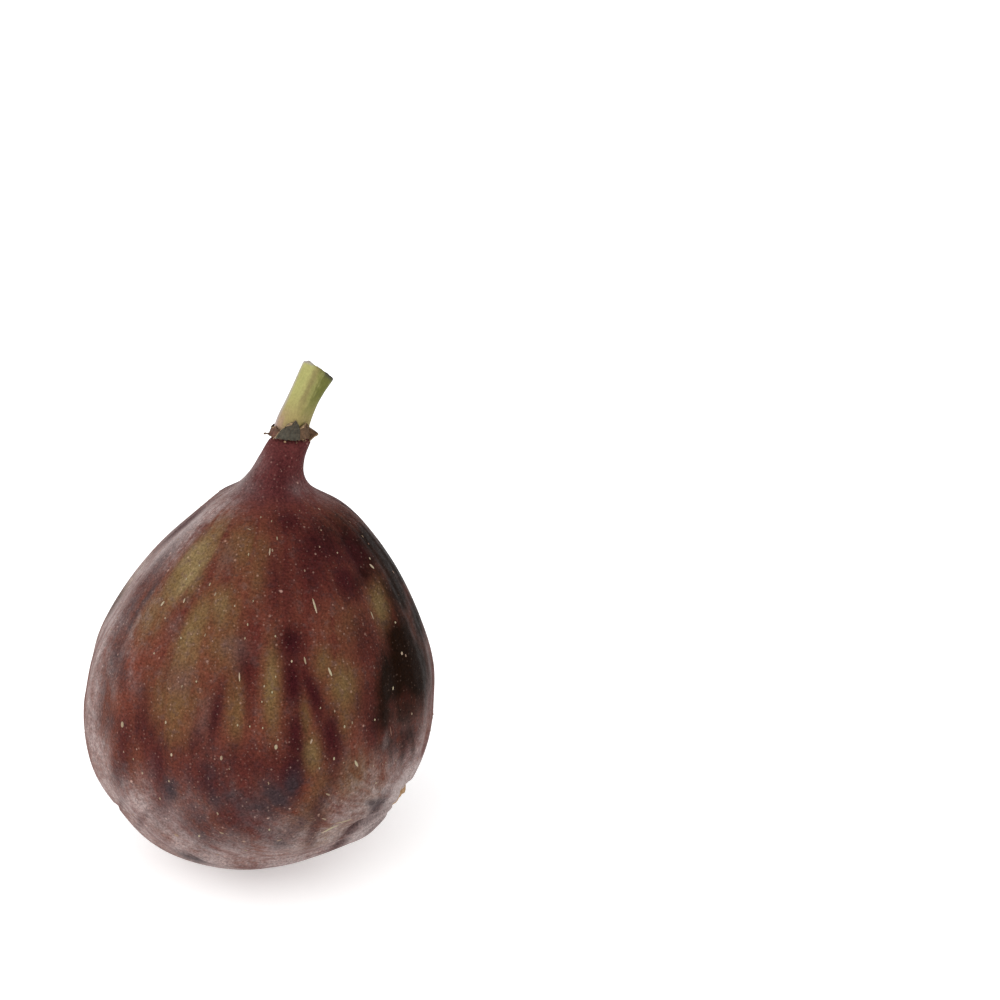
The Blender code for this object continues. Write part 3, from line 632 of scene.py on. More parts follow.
def blend_colours(tree, share, first, second, blend_type="MIX"):
    """A mix of two colours or colour sockets."""
    item = add_node(tree, "ShaderNodeMix", data_type="RGBA", blend_type=blend_type)
    for index, value in ((0, share), (6, first), (7, second)):
        if isinstance(value, bpy.types.NodeSocket):
            tree.links.new(value, item.inputs[index])
        elif index:
            item.inputs[index].default_value = (*value[:3], 1.0)
        else:
            item.inputs[index].default_value = value
    return item.outputs[2]


def layered(tree, colour, *layers):
    """The colour with layers over it, each given by how far it covers and its own colour."""
    for cover, over in layers:
        colour = blend_colours(tree, cover, colour, over)
    return colour


def noise(tree, vector, scale, detail=3.0, roughness=0.55):
    """Soft noise from 0 to 1."""
    sockets = {"Vector": vector, "Scale": scale, "Detail": detail, "Roughness": roughness}
    return add_node(tree, "ShaderNodeTexNoise", sockets).outputs["Fac"]


def stored(tree, name, output="Fac"):
    """A value or a vector that is stored on the piece's points."""
    return add_node(tree, "ShaderNodeAttribute", attribute_name=name).outputs[output]


def new_group(name, inputs, outputs):
    """An empty node group with float or vector sockets."""
    group = bpy.data.node_groups.new(name, "ShaderNodeTree")
    for label, kind, value in inputs:
        socket = group.interface.new_socket(label, in_out="INPUT", socket_type=kind)
        if value is not None:
            socket.default_value = value
    for label, kind in outputs:
        group.interface.new_socket(label, in_out="OUTPUT", socket_type=kind)
    return group, add_node(group, "NodeGroupInput"), add_node(group, "NodeGroupOutput")


def use_group(tree, group, **sockets):
    """Places a node group with its own values."""
    item = add_node(tree, "ShaderNodeGroup", node_tree=group)
    for key, value in sockets.items():
        label = key.replace("_", " ").capitalize()
        if isinstance(value, bpy.types.NodeSocket):
            tree.links.new(value, item.inputs[label])
        else:
            item.inputs[label].default_value = value
    return item


# How unlike the specks are in size and strength, and the share of a speck that is full
SPECK_SIZES = (0.45, 1.3)
SPECK_STRENGTHS = (0.35, 1.0)
SPECK_CORE = 0.4


def specks_group():
    """Small round specks, one to a cell, of unlike size and strength."""
    if "plant_specks" in bpy.data.node_groups:
        return bpy.data.node_groups["plant_specks"]
    group, given, out = new_group(
        "plant_specks",
        [("Vector", "NodeSocketVector", None), ("Spacing", "NodeSocketFloat", 0.001),
         ("Speck radius", "NodeSocketFloat", 0.0001), ("Share", "NodeSocketFloat", 0.6)],
        [("Mask", "NodeSocketFloat")],
    )
    scale = compute(group, "DIVIDE", 1.0, given.outputs["Spacing"])
    sockets = {"Vector": given.outputs["Vector"], "Scale": scale, "Randomness": 1.0}
    cells = add_node(group, "ShaderNodeTexVoronoi", sockets)
    split = add_node(group, "ShaderNodeSeparateColor", {"Color": cells.outputs["Color"]})
    size = between(group, split.outputs[0], 0.0, 1.0, *SPECK_SIZES)
    reach = product(group, given.outputs["Speck radius"], scale, size)
    inner = compute(group, "MULTIPLY", reach, SPECK_CORE)
    spot = between(group, cells.outputs["Distance"], reach, inner)
    kept = compute(group, "LESS_THAN", split.outputs[1], given.outputs["Share"])
    strength = between(group, split.outputs[2], 0.0, 1.0, *SPECK_STRENGTHS)
    group.links.new(product(group, spot, kept, strength), out.inputs["Mask"])
    return group


def streaks_group():
    """Noise drawn out along the ribs, and a finer mottle."""
    if "plant_streaks" in bpy.data.node_groups:
        return bpy.data.node_groups["plant_streaks"]
    group, given, out = new_group(
        "plant_streaks",
        [("Place", "NodeSocketVector", None), ("Scale", "NodeSocketFloat", 6.0),
         ("Vector", "NodeSocketVector", None), ("Mottle size", "NodeSocketFloat", 0.002)],
        [("Streak", "NodeSocketFloat"), ("Mottle", "NodeSocketFloat")],
    )
    streak = noise(group, given.outputs["Place"], given.outputs["Scale"], 4.0, 0.6)
    mottle_scale = compute(group, "DIVIDE", 1.0, given.outputs["Mottle size"])
    mottle = noise(group, given.outputs["Vector"], mottle_scale, 5.0, 0.62)
    group.links.new(streak, out.inputs["Streak"])
    group.links.new(mottle, out.inputs["Mottle"])
    return group


def streaks(tree, place, here, scale, mottle_size):
    """Streaks round and along a piece, and a mottle of a size in metres, each from 0 to 1."""
    sockets = {"place": place, "scale": scale, "vector": here, "mottle_size": mottle_size}
    return use_group(tree, streaks_group(), **sockets).outputs


def specks(tree, here, spacing, radius, share):
    """Specks of a radius and spacing in metres, in a share of the places for them."""
    sockets = {"vector": here, "spacing": spacing, "speck_radius": radius, "share": share}
    return use_group(tree, specks_group(), **sockets).outputs["Mask"]


def new_material(name, roughness, specular=0.5):
    """A material with only its shader, and its node tree, shader and object coordinates."""
    material = bpy.data.materials.new(name)
    material.use_nodes = True
    tree = material.node_tree
    shader = tree.nodes["Principled BSDF"]
    shader.inputs["Roughness"].default_value = roughness
    shader.inputs["Specular IOR Level"].default_value = specular
    coordinates = add_node(tree, "ShaderNodeTexCoord").outputs["Object"]
    return material, tree, shader, coordinates


def shaded_by(tree, colour, value, low, high):
    """The colour made darker or lighter by a noise."""
    factor = between(tree, value, *NOISE_RANGE, low, high)
    return blend_colours(tree, 1.0, colour, factor, "MULTIPLY")


def add_bump(tree, shader, height, distance, strength=0.5):
    """Fine relief from a height that is counted in units of the distance."""
    bump = add_node(tree, "ShaderNodeBump", {"Height": height, "Strength": strength, "Distance": distance})
    tree.links.new(bump.outputs["Normal"], shader.inputs["Normal"])


# Where nearly all of a noise lies
NOISE_RANGE = (0.25, 0.75)
# Streaks of the skin and the stem: scale of the streaks, size of the mottle in metres
SKIN_STREAKS = [(5.0, 0.0035), (17.0, 0.0011), (62.0, 0.00032)]
STEM_STREAKS = [(4.5, 0.0011), (16.0, 0.00032)]
# Specks: spacing and radius in metres, share of the places that have one; and how strongly they show
SKIN_DUST = (0.00050, 0.00014, 0.85)
DUST_STRENGTH = 0.20
SKIN_DOTS = (0.0016, 0.00022, 0.70)
DOTS_STRENGTH = 0.40
STEM_SPECKS = (0.0009, 0.00020, 0.35)
STEM_SPECK_STRENGTH = 0.35
# How much fuller a mark is than its stored value, and how far the grain breaks up its edge
MARK_FULLNESS = 1.15
MARK_BREAK_UP = 3.0


def skin_material(colours):
    """Wine and olive skin, mottled and streaked along the ribs, with pale specks, haze and bloom, and painted
    sheen, highlights and shade.
    """
    material, tree, shader, here = new_material("fig_skin_detail", 0.5, 0.02)
    place = stored(tree, "fig_place", "Vector")
    broad, narrow, fine = (streaks(tree, place, here, *values) for values in SKIN_STREAKS)
    grain = compute(tree, "ADD", narrow["Streak"], broad["Mottle"])
    grain = compute(tree, "SUBTRACT", compute(tree, "ADD", grain, narrow["Mottle"]), 1.5)

    def mark(name):
        """A stored mark that is broken up by streaks and mottle."""
        cover = compute(tree, "MINIMUM", compute(tree, "MULTIPLY", stored(tree, name), MARK_FULLNESS), 1.0)
        edge = product(tree, cover, compute(tree, "SUBTRACT", 1.0, cover), MARK_BREAK_UP)
        return compute(tree, "MULTIPLY_ADD", edge, grain, cover)

    # The bloom and the painted sheen lie thinner in some places than in others
    powder_and_sheen = between(tree, grain, -0.30, 0.30, 0.60, 0.88)
    ground = layered(
        tree, colours.wine,
        (between(tree, broad["Streak"], 0.34, 0.64), colours.brown),
        (between(tree, broad["Mottle"], 0.42, 0.70, 0.0, 0.6), colours.red),
        (mark("red"), colours.red), (mark("olive"), colours.olive), (mark("yellow"), colours.yellow),
        (between(tree, narrow["Mottle"], 0.48, 0.70, 0.0, 0.55), colours.haze),
        (mark("haze"), colours.haze), (mark("neck"), colours.neck),
        # Underside bloom, with painted light thrown up from the floor
        (product(tree, mark("underside_bloom_and_bounce"), powder_and_sheen), colours.bloom_and_sheen),
        # Grey bloom, with painted sheen and highlights along the rims
        (product(tree, mark("bloom_and_sheen"), powder_and_sheen), colours.bloom_and_sheen),
        # Plum streaks, partly painted shade in the creases and on the neck's right side, and bluish slate
        # marks
        (product(tree, mark("wine"), 0.95), colours.plum_and_shade), (product(tree, mark("slate"), 0.9), colours.slate),
        # The dark patch, and a painted shadow on the upper right shoulder
        (mark("dark"), colours.dark),
    )
    ground = shaded_by(tree, ground, fine["Streak"], 0.94, 1.06)
    ground = shaded_by(tree, ground, fine["Mottle"], 0.60, 1.40)

    # The specks are fainter on the dark patch and on its painted shadow, and fainter in some places than in
    # others
    clear = compute(tree, "MULTIPLY_ADD", mark("dark"), -0.5, 1.0)
    clear = product(tree, clear, between(tree, narrow["Mottle"], 0.35, 0.65, 0.5, 1.5))
    dust, dots = (specks(tree, here, *values) for values in (SKIN_DUST, SKIN_DOTS))
    for mask, strength in ((dust, DUST_STRENGTH), (dots, DOTS_STRENGTH)):
        ground = blend_colours(tree, product(tree, mask, strength, clear), ground, colours.speck, "ADD")
    tree.links.new(ground, shader.inputs["Base Color"])

    height = compute(tree, "MULTIPLY_ADD", fine["Streak"], 0.3, fine["Mottle"])
    height = compute(tree, "MULTIPLY_ADD", dots, 0.35, height)
    height = compute(tree, "MULTIPLY_ADD", narrow["Streak"], 0.5, height)
    add_bump(tree, shader, height, 0.0002, 0.35)
    tree.links.new(between(tree, narrow["Mottle"], 0.3, 0.7, 0.44, 0.60), shader.inputs["Roughness"])
    return material


def fleck_material(colours):
    """Corky cream flecks, some of them reddish."""
    material, tree, shader, here = new_material("fleck_cork_detail", 0.7)
    tone = noise(tree, here, 1500.0)
    colour = layered(
        tree, colours.speck,
        (between(tree, tone, 0.30, 0.60, 0.4, 1.0), colours.fleck), (stored(tree, "tone"), colours.red),
    )
    tree.links.new(colour, shader.inputs["Base Color"])
    add_bump(tree, shader, tone, 0.00005)
    return material


def stem_material(colours):
    """Stem skin: straw and green, pink at its foot, brown specks, a painted highlight along its left edge,
    and a pale torn end.
    """
    material, tree, shader, here = new_material("stem_detail", 0.55, 0.15)
    place = stored(tree, "stem_place", "Vector")
    right, back, height = add_node(tree, "ShaderNodeSeparateXYZ", {"Vector": place}).outputs
    left = compute(tree, "MULTIPLY", right, -1.0)
    broad, fine = (streaks(tree, place, here, *values) for values in STEM_STREAKS)
    grain = compute(tree, "SUBTRACT", compute(tree, "ADD", broad["Streak"], broad["Mottle"]), 1.0)

    def grained(value, low, high, spread=0.8):
        """The smooth way of a value from low to high, broken up by the grain."""
        return between(tree, compute(tree, "MULTIPLY_ADD", grain, spread, value), low, high)

    tan = compute(tree, "MAXIMUM", between(tree, height, 0.80, 0.25, 0.0, 0.9),
                  between(tree, broad["Streak"], 0.45, 0.75, 0.0, 0.45))
    green = product(tree, grained(right, 0.05, 0.80), between(tree, height, 0.25, 0.75, 0.20, 1.0))
    from_streak = compute(tree, "ABSOLUTE", compute(tree, "SUBTRACT", right, 0.06))
    spotted = product(tree, grained(from_streak, 0.34, 0.02, 0.35), between(tree, height, 0.35, 0.70),
                      between(tree, back, 0.2, -0.4, 0.0, 0.55))
    low_left = product(tree, grained(left, 0.25, 0.8), between(tree, height, 0.55, 0.20, 0.0, 0.85))
    speckled = product(tree, specks(tree, here, *STEM_SPECKS), STEM_SPECK_STRENGTH)
    corner = product(tree, grained(right, 0.10, 0.85, 0.6), between(tree, height, 0.92, 1.0))
    pale_rim = product(tree, between(tree, left, 0.05, 0.45, 0.0, 0.85), between(tree, height, 0.97, 1.0))
    flesh = blend_colours(tree, grained(right, 0.1, 0.8), colours.stem_flesh, colours.bract_dark)
    colour = layered(
        tree, colours.straw, (tan, colours.stem_brown), (green, colours.stem_green),
        (spotted, colours.stem_spots), (low_left, colours.stem_pink),
        # Whitish left edge: painted light along the stem's lit side
        (between(tree, left, 0.74, 0.94, 0.0, 0.75), colours.stem_edge), (speckled, colours.stem_spots),
        (corner, colours.bract_dark), (pale_rim, colours.stem_edge), (stored(tree, "cut"), flesh),
    )
    colour = shaded_by(tree, colour, fine["Streak"], 0.94, 1.06)
    colour = shaded_by(tree, colour, fine["Mottle"], 0.88, 1.12)
    tree.links.new(colour, shader.inputs["Base Color"])
    add_bump(tree, shader, compute(tree, "ADD", fine["Streak"], broad["Streak"]), 0.00008)
    return material


def bract_material(colours):
    """Dry bracts: nearly black to brown, some of them reddish, with pale torn edges."""
    material, tree, shader, here = new_material("bract_detail", 0.8, 0.25)
    tone = noise(tree, here, 900.0, 4.0)
    fibre = noise(tree, stored(tree, "bract_place", "Vector"), 7.0, 4.0)
    brown = compute(tree, "ADD", stored(tree, "bract_brown"), compute(tree, "SUBTRACT", fibre, 0.45))
    reddish = product(tree, stored(tree, "bract_red"), between(tree, tone, 0.3, 0.6, 0.4, 1.0))
    rim = compute(tree, "MULTIPLY_ADD", tone, 0.7, stored(tree, "bract_edge"))
    colour = layered(
        tree, colours.bract_dark, (between(tree, brown, 0.0, 0.9), colours.bract_brown),
        (reddish, colours.bract_red), (between(tree, rim, 0.85, 1.30), colours.bract_pale),
    )
    colour = shaded_by(tree, colour, noise(tree, here, 2400.0), 0.60, 1.40)
    tree.links.new(colour, shader.inputs["Base Color"])
    add_bump(tree, shader, compute(tree, "ADD", fibre, tone), 0.00012, 0.6)
    return material


def eye_material(colours):
    """Scales of the eye: orange brown, dark at the root and pale along the torn tips."""
    material, tree, shader, here = new_material("eye_scale_detail", 0.75)
    tone = noise(tree, here, 1300.0, 4.0)
    along = stored(tree, "scale_along")
    value = compute(tree, "MULTIPLY_ADD", compute(tree, "SUBTRACT", tone, 0.5), 0.8, along)
    colour = layered(
        tree, colours.scale_dark, (between(tree, value, 0.0, 0.55), colours.scale_orange),
        (between(tree, value, 0.70, 1.10), colours.bract_pale),
    )
    tree.links.new(colour, shader.inputs["Base Color"])
    add_bump(tree, shader, tone, 0.0001)
    return material


def colour_property(label, meaning, colour):
    """A colour that a user may change."""
    return FloatVectorProperty(
        name=label, description=meaning, subtype="COLOR", default=colour, min=0.0, max=1.0)


class FigSizes(bpy.types.PropertyGroup):
    """Sizes that a user of the fig would change."""

    fleck_lift: FloatProperty(
        name="Fleck lift", description="How far the cream flecks stand out of the skin",
        default=0.00007, unit="LENGTH")
    bract_thickness: FloatProperty(
        name="Bract thickness", description="Thickness of the dry bracts", default=0.00012, unit="LENGTH")
    scale_thickness: FloatProperty(
        name="Scale thickness", description="Thickness of the scales of the eye", default=0.00016,
        unit="LENGTH")
    camera_elevation: FloatProperty(
        name="Camera elevation", description="How steeply the camera looks down",
        default=math.radians(24.0), subtype="ANGLE")
    camera_lens: FloatProperty(
        name="Camera lens", description="Focal length of the camera, in millimetres", default=100.0)
    floor_size: FloatProperty(
        name="Floor size", description="Side of the pale floor", default=6.0, unit="LENGTH")


class FigColours(bpy.types.PropertyGroup):
    """Colours of the skin and of the dry parts."""

    wine: colour_property("Wine", "Ground colour of the skin", (0.084, 0.018, 0.014))
    brown: colour_property("Brown", "Brown of the half ripe skin", (0.114, 0.034, 0.020))
    red: colour_property("Red brown", "Red brown of the ripe skin", (0.132, 0.036, 0.023))
    olive: colour_property("Olive", "Olive streaks", (0.128, 0.074, 0.028))
    yellow: colour_property("Yellow olive", "Lightest streaks", (0.195, 0.135, 0.062))
    # Dark streaks, also used for painted shade in the creases and on the neck's right side
    plum_and_shade: colour_property("Plum", "Dark streaks", (0.034, 0.005, 0.007))
    slate: colour_property("Slate", "Bluish dark marks", (0.034, 0.024, 0.027))
    # The dark patch, also used for a painted shadow on the upper right shoulder
    dark: colour_property("Dark", "The dark patch", (0.009, 0.003, 0.001))
    neck: colour_property("Neck", "Plum of the neck", (0.096, 0.025, 0.024))
    # Grey bloom, also used for painted sheen, highlights and the painted light on the underside
    bloom_and_sheen: colour_property("Bloom", "Grey bloom on the skin", (0.390, 0.325, 0.312))
    haze: colour_property("Haze", "Greyish haze over the streaks", (0.112, 0.058, 0.050))
    speck: colour_property("Specks", "Pale specks of the skin", (0.450, 0.300, 0.240))
    fleck: colour_property("Flecks", "Cream flecks of the skin", (0.340, 0.300, 0.180))
    straw: colour_property("Straw", "Pale side of the stem", (0.330, 0.318, 0.112))
    stem_brown: colour_property("Stem tan", "Lower part of the stem", (0.270, 0.200, 0.080))
    stem_green: colour_property("Stem green", "Green side of the stem", (0.122, 0.126, 0.022))
    stem_spots: colour_property("Stem spots", "Brown spots of the stem", (0.130, 0.080, 0.035))
    stem_pink: colour_property("Stem pink", "Foot of the stem", (0.320, 0.200, 0.150))
    # Whitish colour of the painted highlight along the stem's left edge, also used for the pale rim at its
    # top
    stem_edge: colour_property("Stem edge", "Whitish left side of the stem", (0.340, 0.300, 0.300))
    stem_flesh: colour_property("Stem flesh", "The snapped end", (0.500, 0.440, 0.340))
    bract_dark: colour_property("Bract dark", "Darkest part of the bracts", (0.050, 0.045, 0.033))
    bract_brown: colour_property("Bract brown", "Brown of the bracts", (0.110, 0.065, 0.034))
    bract_red: colour_property("Bract red", "Reddish foot of the bracts", (0.110, 0.034, 0.024))
    bract_pale: colour_property("Bract pale", "Torn edges of the bracts", (0.330, 0.220, 0.120))
    scale_dark: colour_property("Scale dark", "Root of the scales of the eye", (0.090, 0.036, 0.020))
    scale_orange: colour_property("Scale orange", "Scales of the eye", (0.330, 0.190, 0.080))


class FIG_OT_fruit(bpy.types.Operator):
    """Builds the fleshy fruit with its ribs, folds and marks"""

    bl_idname = "fig.fruit"
    bl_label = "Fruit"

    def execute(self, context):
        deselect_all()
        bpy.ops.mesh.primitive_uv_sphere_add(segments=FRUIT_SEGMENTS, ring_count=FRUIT_RINGS, radius=1.0)
        fruit = context.active_object
        points = points_of(fruit)
        ring = np.arccos(np.clip(points[:, 2], -1.0, 1.0)) / math.pi
        ring = np.round(ring * FRUIT_RINGS) / FRUIT_RINGS
        azimuth = np.arctan2(points[:, 1], points[:, 0])
        share = share_of_ring(ring)
        places = fig_surface(share, azimuth)
        set_points(fruit, places)
        far_side = far_side_marks()
        for name, marks in SKIN_MARKS.items():
            set_values(fruit, name, cover_of(places, marks + far_side[name]))
        set_values(fruit, "neck", smooth_step((NECK_COLOUR_END - share) / NECK_COLOUR_FADE))
        # The underside is paler all round: its bloom and painted light from the floor
        underside_bloom_and_bounce = smooth_step((share - UNDERSIDE_START) / UNDERSIDE_FADE)
        set_values(fruit, "underside_bloom_and_bounce", UNDERSIDE_BLOOM_AND_BOUNCE * underside_bloom_and_bounce)
        place = np.stack([np.cos(azimuth), np.sin(azimuth), share * STREAK_LENGTH], -1)
        set_values(fruit, "fig_place", place, "FLOAT_VECTOR")
        finish_piece(fruit, "fig_fruit", skin_material(context.scene.fig_colours), "fig_skin", "fruit")
        smooth_shaded(fruit)
        return {"FINISHED"}


# Cream flecks that the photograph shows: degrees round the fruit, share, half width and half length in
# millimetres, how far they are turned from the rib in degrees, how red brown they are
FLECKS = [
    (-67.5, 0.344, 0.14, 1.13, 10, 0.0), (-89.2, 0.278, 0.12, 0.6, 1, 0.35),
    (-85.0, 0.255, 0.09, 0.31, 2, 0.45), (-73.0, 0.398, 0.13, 0.56, 13, 0.4),
    (-63.8, 0.413, 0.16, 0.66, 20, 0.0), (-77.8, 0.398, 0.13, 0.18, 1, 0.05),
    (-26.0, 0.313, 0.17, 0.45, 23, 0.0), (-24.2, 0.303, 0.15, 0.18, -3, 0.3),
    (-39.0, 0.364, 0.13, 0.62, 5, 0.4), (-27.0, 0.378, 0.15, 0.17, -27, 0.2),
    (-28.5, 0.415, 0.18, 0.26, -20, 0.2), (-46.5, 0.284, 0.12, 0.16, -29, 0.4),
    (-84.0, 0.374, 0.12, 0.17, 3, 0.3), (-134.2, 0.364, 0.16, 0.44, -11, 0.05),
    (-125.0, 0.355, 0.12, 0.36, 5, 0.15), (-115.8, 0.331, 0.1, 0.27, -4, 0.35),
    (-111.5, 0.34, 0.14, 0.3, -4, 0.55), (-104.8, 0.244, 0.06, 0.3, 72, 0.4),
    (-101.0, 0.285, 0.09, 0.25, 7, 0.3), (-101.5, 0.348, 0.11, 0.16, 14, 0.3),
    (-95.0, 0.365, 0.1, 0.22, 9, 0.3), (-94.2, 0.341, 0.09, 0.17, 9, 0.4),
    (-119.8, 0.389, 0.13, 0.16, 25, 0.25), (-128.5, 0.409, 0.13, 0.16, 25, 0.3),
    (-130.0, 0.376, 0.12, 0.18, 30, 0.4), (-126.2, 0.314, 0.1, 0.16, 35, 0.1),
    (-129.2, 0.333, 0.1, 0.14, 34, 0.1), (-95.0, 0.416, 0.1, 0.64, 11, 0.15),
    (-134.0, 0.473, 0.26, 0.45, 8, 0.45), (-117.5, 0.465, 0.17, 0.24, 7, 0.25),
    (-109.0, 0.424, 0.12, 0.16, 15, 0.2), (-93.8, 0.464, 0.12, 0.19, 4, 0.3),
    (-90.0, 0.466, 0.1, 0.17, 3, 0.3), (-86.0, 0.468, 0.1, 0.17, 3, 0.3),
    (-114.5, 0.493, 0.16, 0.23, 1, 0.05), (-98.2, 0.496, 0.19, 0.33, 1, 0.5),
    (-123.2, 0.565, 0.14, 0.24, -29, 0.5), (-129.8, 0.639, 0.26, 0.34, -3, 0.55),
    (-120.8, 0.645, 0.14, 0.41, -55, 0.2), (-109.5, 0.638, 0.18, 0.29, 45, 0.55),
    (-106.8, 0.669, 0.21, 0.2, 6, 0.55), (-126.8, 0.525, 0.14, 0.2, -13, 0.4),
    (-116.5, 0.531, 0.14, 0.21, -15, 0.5), (-36.0, 0.459, 0.14, 0.27, -28, 0.0),
    (-46.8, 0.494, 0.14, 0.16, -1, 0.1), (-86.5, 0.424, 0.1, 0.17, 5, 0.2),
    (-83.8, 0.43, 0.1, 0.18, 4, 0.1), (-83.0, 0.414, 0.09, 0.15, 4, 0.2), (-86.8, 0.44, 0.1, 0.14, 5, 0.3),
    (-67.8, 0.453, 0.1, 0.15, -1, 0.3), (-59.5, 0.485, 0.14, 0.22, 0, 0.2),
    (-81.8, 0.491, 0.22, 0.36, 0, 0.25), (-70.8, 0.493, 0.14, 0.36, -20, 0.35),
    (-63.2, 0.53, 0.14, 0.24, -4, 0.1), (-55.5, 0.559, 0.19, 0.61, 20, 0.05),
    (-68.5, 0.536, 0.1, 0.17, -5, 0.3), (-68.8, 0.62, 0.16, 0.41, 21, 0.55),
    (-52.2, 0.693, 0.14, 0.2, -41, 0.2), (-78.5, 0.696, 0.14, 0.34, 3, 0.45),
    (-97.0, 0.78, 0.11, 0.28, -17, 0.5), (-98.5, 0.698, 0.13, 0.33, 61, 0.5),
    (-95.2, 0.661, 0.11, 0.25, -47, 0.15), (-87.5, 0.759, 0.28, 1.21, 74, 0.05),
    (-78.8, 0.753, 0.17, 1.14, 29, 0.1), (-38.5, 0.536, 0.1, 0.87, 13, 0.9),
]
# Other small ones are strewn by lot: how many, and the ranges of their values
FLECK_SEED = 5
FLECK_COUNT = 100
FLECK_RANGES = ((-180.0, 180.0), (0.18, 0.80), (0.08, 0.13), (0.10, 0.26), (-14.0, 14.0), (0.4, 0.85))
# None lie where the fig stands
FLECK_FLOOR_GAP = 0.001
FLECK_SEGMENTS = 10
FLECK_RINGS = 6


def skin_frame(azimuth, share):
    """Place of the skin, its outward direction, and its length to a radian round and to a share along."""
    here = fig_surface(share, azimuth)
    round_it = (fig_surface(share, azimuth + FEEL_STEP) - here) / FEEL_STEP
    along = (fig_surface(share + FEEL_STEP, azimuth) - here) / FEEL_STEP
    outward = np.cross(along, round_it)
    outward /= np.linalg.norm(outward, axis=-1, keepdims=True)
    return here, outward, np.linalg.norm(round_it, axis=-1), np.linalg.norm(along, axis=-1)


def strewn_flecks():
    """Small flecks at places drawn by lot all round the fruit."""
    draw = np.random.default_rng(FLECK_SEED)
    return [tuple(draw.uniform(*limits) for limits in FLECK_RANGES) for _ in range(FLECK_COUNT)]


class FIG_OT_flecks(bpy.types.Operator):
    """Builds the raised cream flecks of the skin"""

    bl_idname = "fig.flecks"
    bl_label = "Flecks"

    def execute(self, context):
        sizes = context.scene.fig_sizes
        deselect_all()
        bpy.ops.mesh.primitive_uv_sphere_add(segments=FLECK_SEGMENTS, ring_count=FLECK_RINGS, radius=1.0)
        base = context.active_object
        ball = points_of(base)
        flecks = []
        for degrees, share, half_width, half_length, turned, red in FLECKS + strewn_flecks():
            azimuth = np.full(1, math.radians(degrees))
            middle, _, round_length, along_length = skin_frame(azimuth, np.full(1, share))
            if middle[0, 2] < FLECK_FLOOR_GAP:
                continue
            turn = math.radians(turned)
            x, y = ball[:, 0] * half_width * MILLIMETRE, ball[:, 1] * half_length * MILLIMETRE
            across, along = x * math.cos(turn) + y * math.sin(turn), y * math.cos(turn) - x * math.sin(turn)
            here, outward, _, _ = skin_frame(azimuth + across / round_length, share + along / along_length)
            fleck = copy_of(base)
            set_points(fleck, here + outward * (ball[:, 2] * sizes.fleck_lift)[:, None])
            set_values(fleck, "tone", np.full(len(ball), red))
            flecks.append(fleck)
        bpy.data.objects.remove(base)
        piece = joined(flecks)
        finish_piece(piece, "fig_flecks", fleck_material(context.scene.fig_colours), "fig_skin", "fruit")
        smooth_shaded(outward_faces(piece))
        return {"FINISHED"}


# Stem: it follows the solid stem's lines
STEM_GAP = 0.0003
STEM_LENGTH = 0.0098
STEM_RADIUS = 0.00212
STEM_CUT_SLOPE = (0.45, 0.48)
STEM_CUT_REACH = 0.5
STEM_SLOPE = (0.52, 0.19)
STEM_BEND_START = 0.0015
STEM_BEND_REACH = 0.0036
STEM_RIDGES = (5, 0.00012, 0.5)
# Radius of the stem from its foot to the cut end, at even heights
STEM_OUTLINE = [
    0.00218, 0.00230, 0.00237, 0.00236, 0.00232, 0.00227, 0.00222, 0.00216, 0.00211, 0.00210, 0.00213,
]
STEM_SIDES = 72
STEM_CUTS = 39
STEM_FINE_RIDGES = [(17, 0.000014, 1.0), (29, 0.000010, 4.0)]
# How far the fine ridges wander round the stem, and how often
STEM_RIDGE_WANDER = (1.5, 5)
# The snapped end: the share of the height it starts at, and the share of the radius at its rim
STEM_END_START = 0.999
STEM_END_RIM = 0.995
# How far each ring of the end is set in, how rough it is, and its waves: round the stem, outwards, start
STEM_END_INSETS = (0.00012, 0.00018, 0.00030, 0.00035, 0.00040)
STEM_END_ROUGHNESS = 0.00006
STEM_END_WAVES = [(7, 5, 0.0), (13, -9, 1.0), (0, 11, 0.0)]
# A torn lip on the rim: degrees round the stem, half its width in degrees, height; and where it rises
STEM_LIP = (-122.0, 15.0, 0.00040)
STEM_LIP_START = 0.7
STEM_LIP_RISE = 0.2
# The middle of the end lies this much lower
STEM_END_HOLLOW = 0.00025
STEM_HOLLOW_EDGE = 0.75
STEM_HOLLOW_WIDTH = 0.5
# Torn fibres round the end: degrees round the stem, length, radius, how far they lean out and along the rim
STEM_FIBRES = [
    (-160, 0.00040, 0.00014, 0.1, 0.3), (-128, 0.00035, 0.00012, -0.3, 0.6),
    (-99, 0.00055, 0.00019, 0.4, 1.9), (20, 0.00040, 0.00016, 0.2, 0.0),
    (75, 0.00050, 0.00014, 0.0, 0.5), (120, 0.00050, 0.00015, -0.2, -0.4),
    (160, 0.00050, 0.00018, 0.1, 0.0),
]
FIBRE_SIDES = 8
FIBRE_TIP = 0.2
# Share of a fibre's length by which its middle stands over the rim
FIBRE_RISE = 0.3
FIBRE_CURL = 0.3
FIBRE_CURL_WAVES = 9000.0
FIBRE_RIM = 0.93


def stem_shift(height):
    """How far right and back the stem's middle line lies at a height over the neck's top."""
    past = np.maximum(height - STEM_BEND_START, 0.0)
    shift = past * past / (past + STEM_BEND_REACH)
    return STEM_SLOPE[0] * shift, STEM_SLOPE[1] * shift


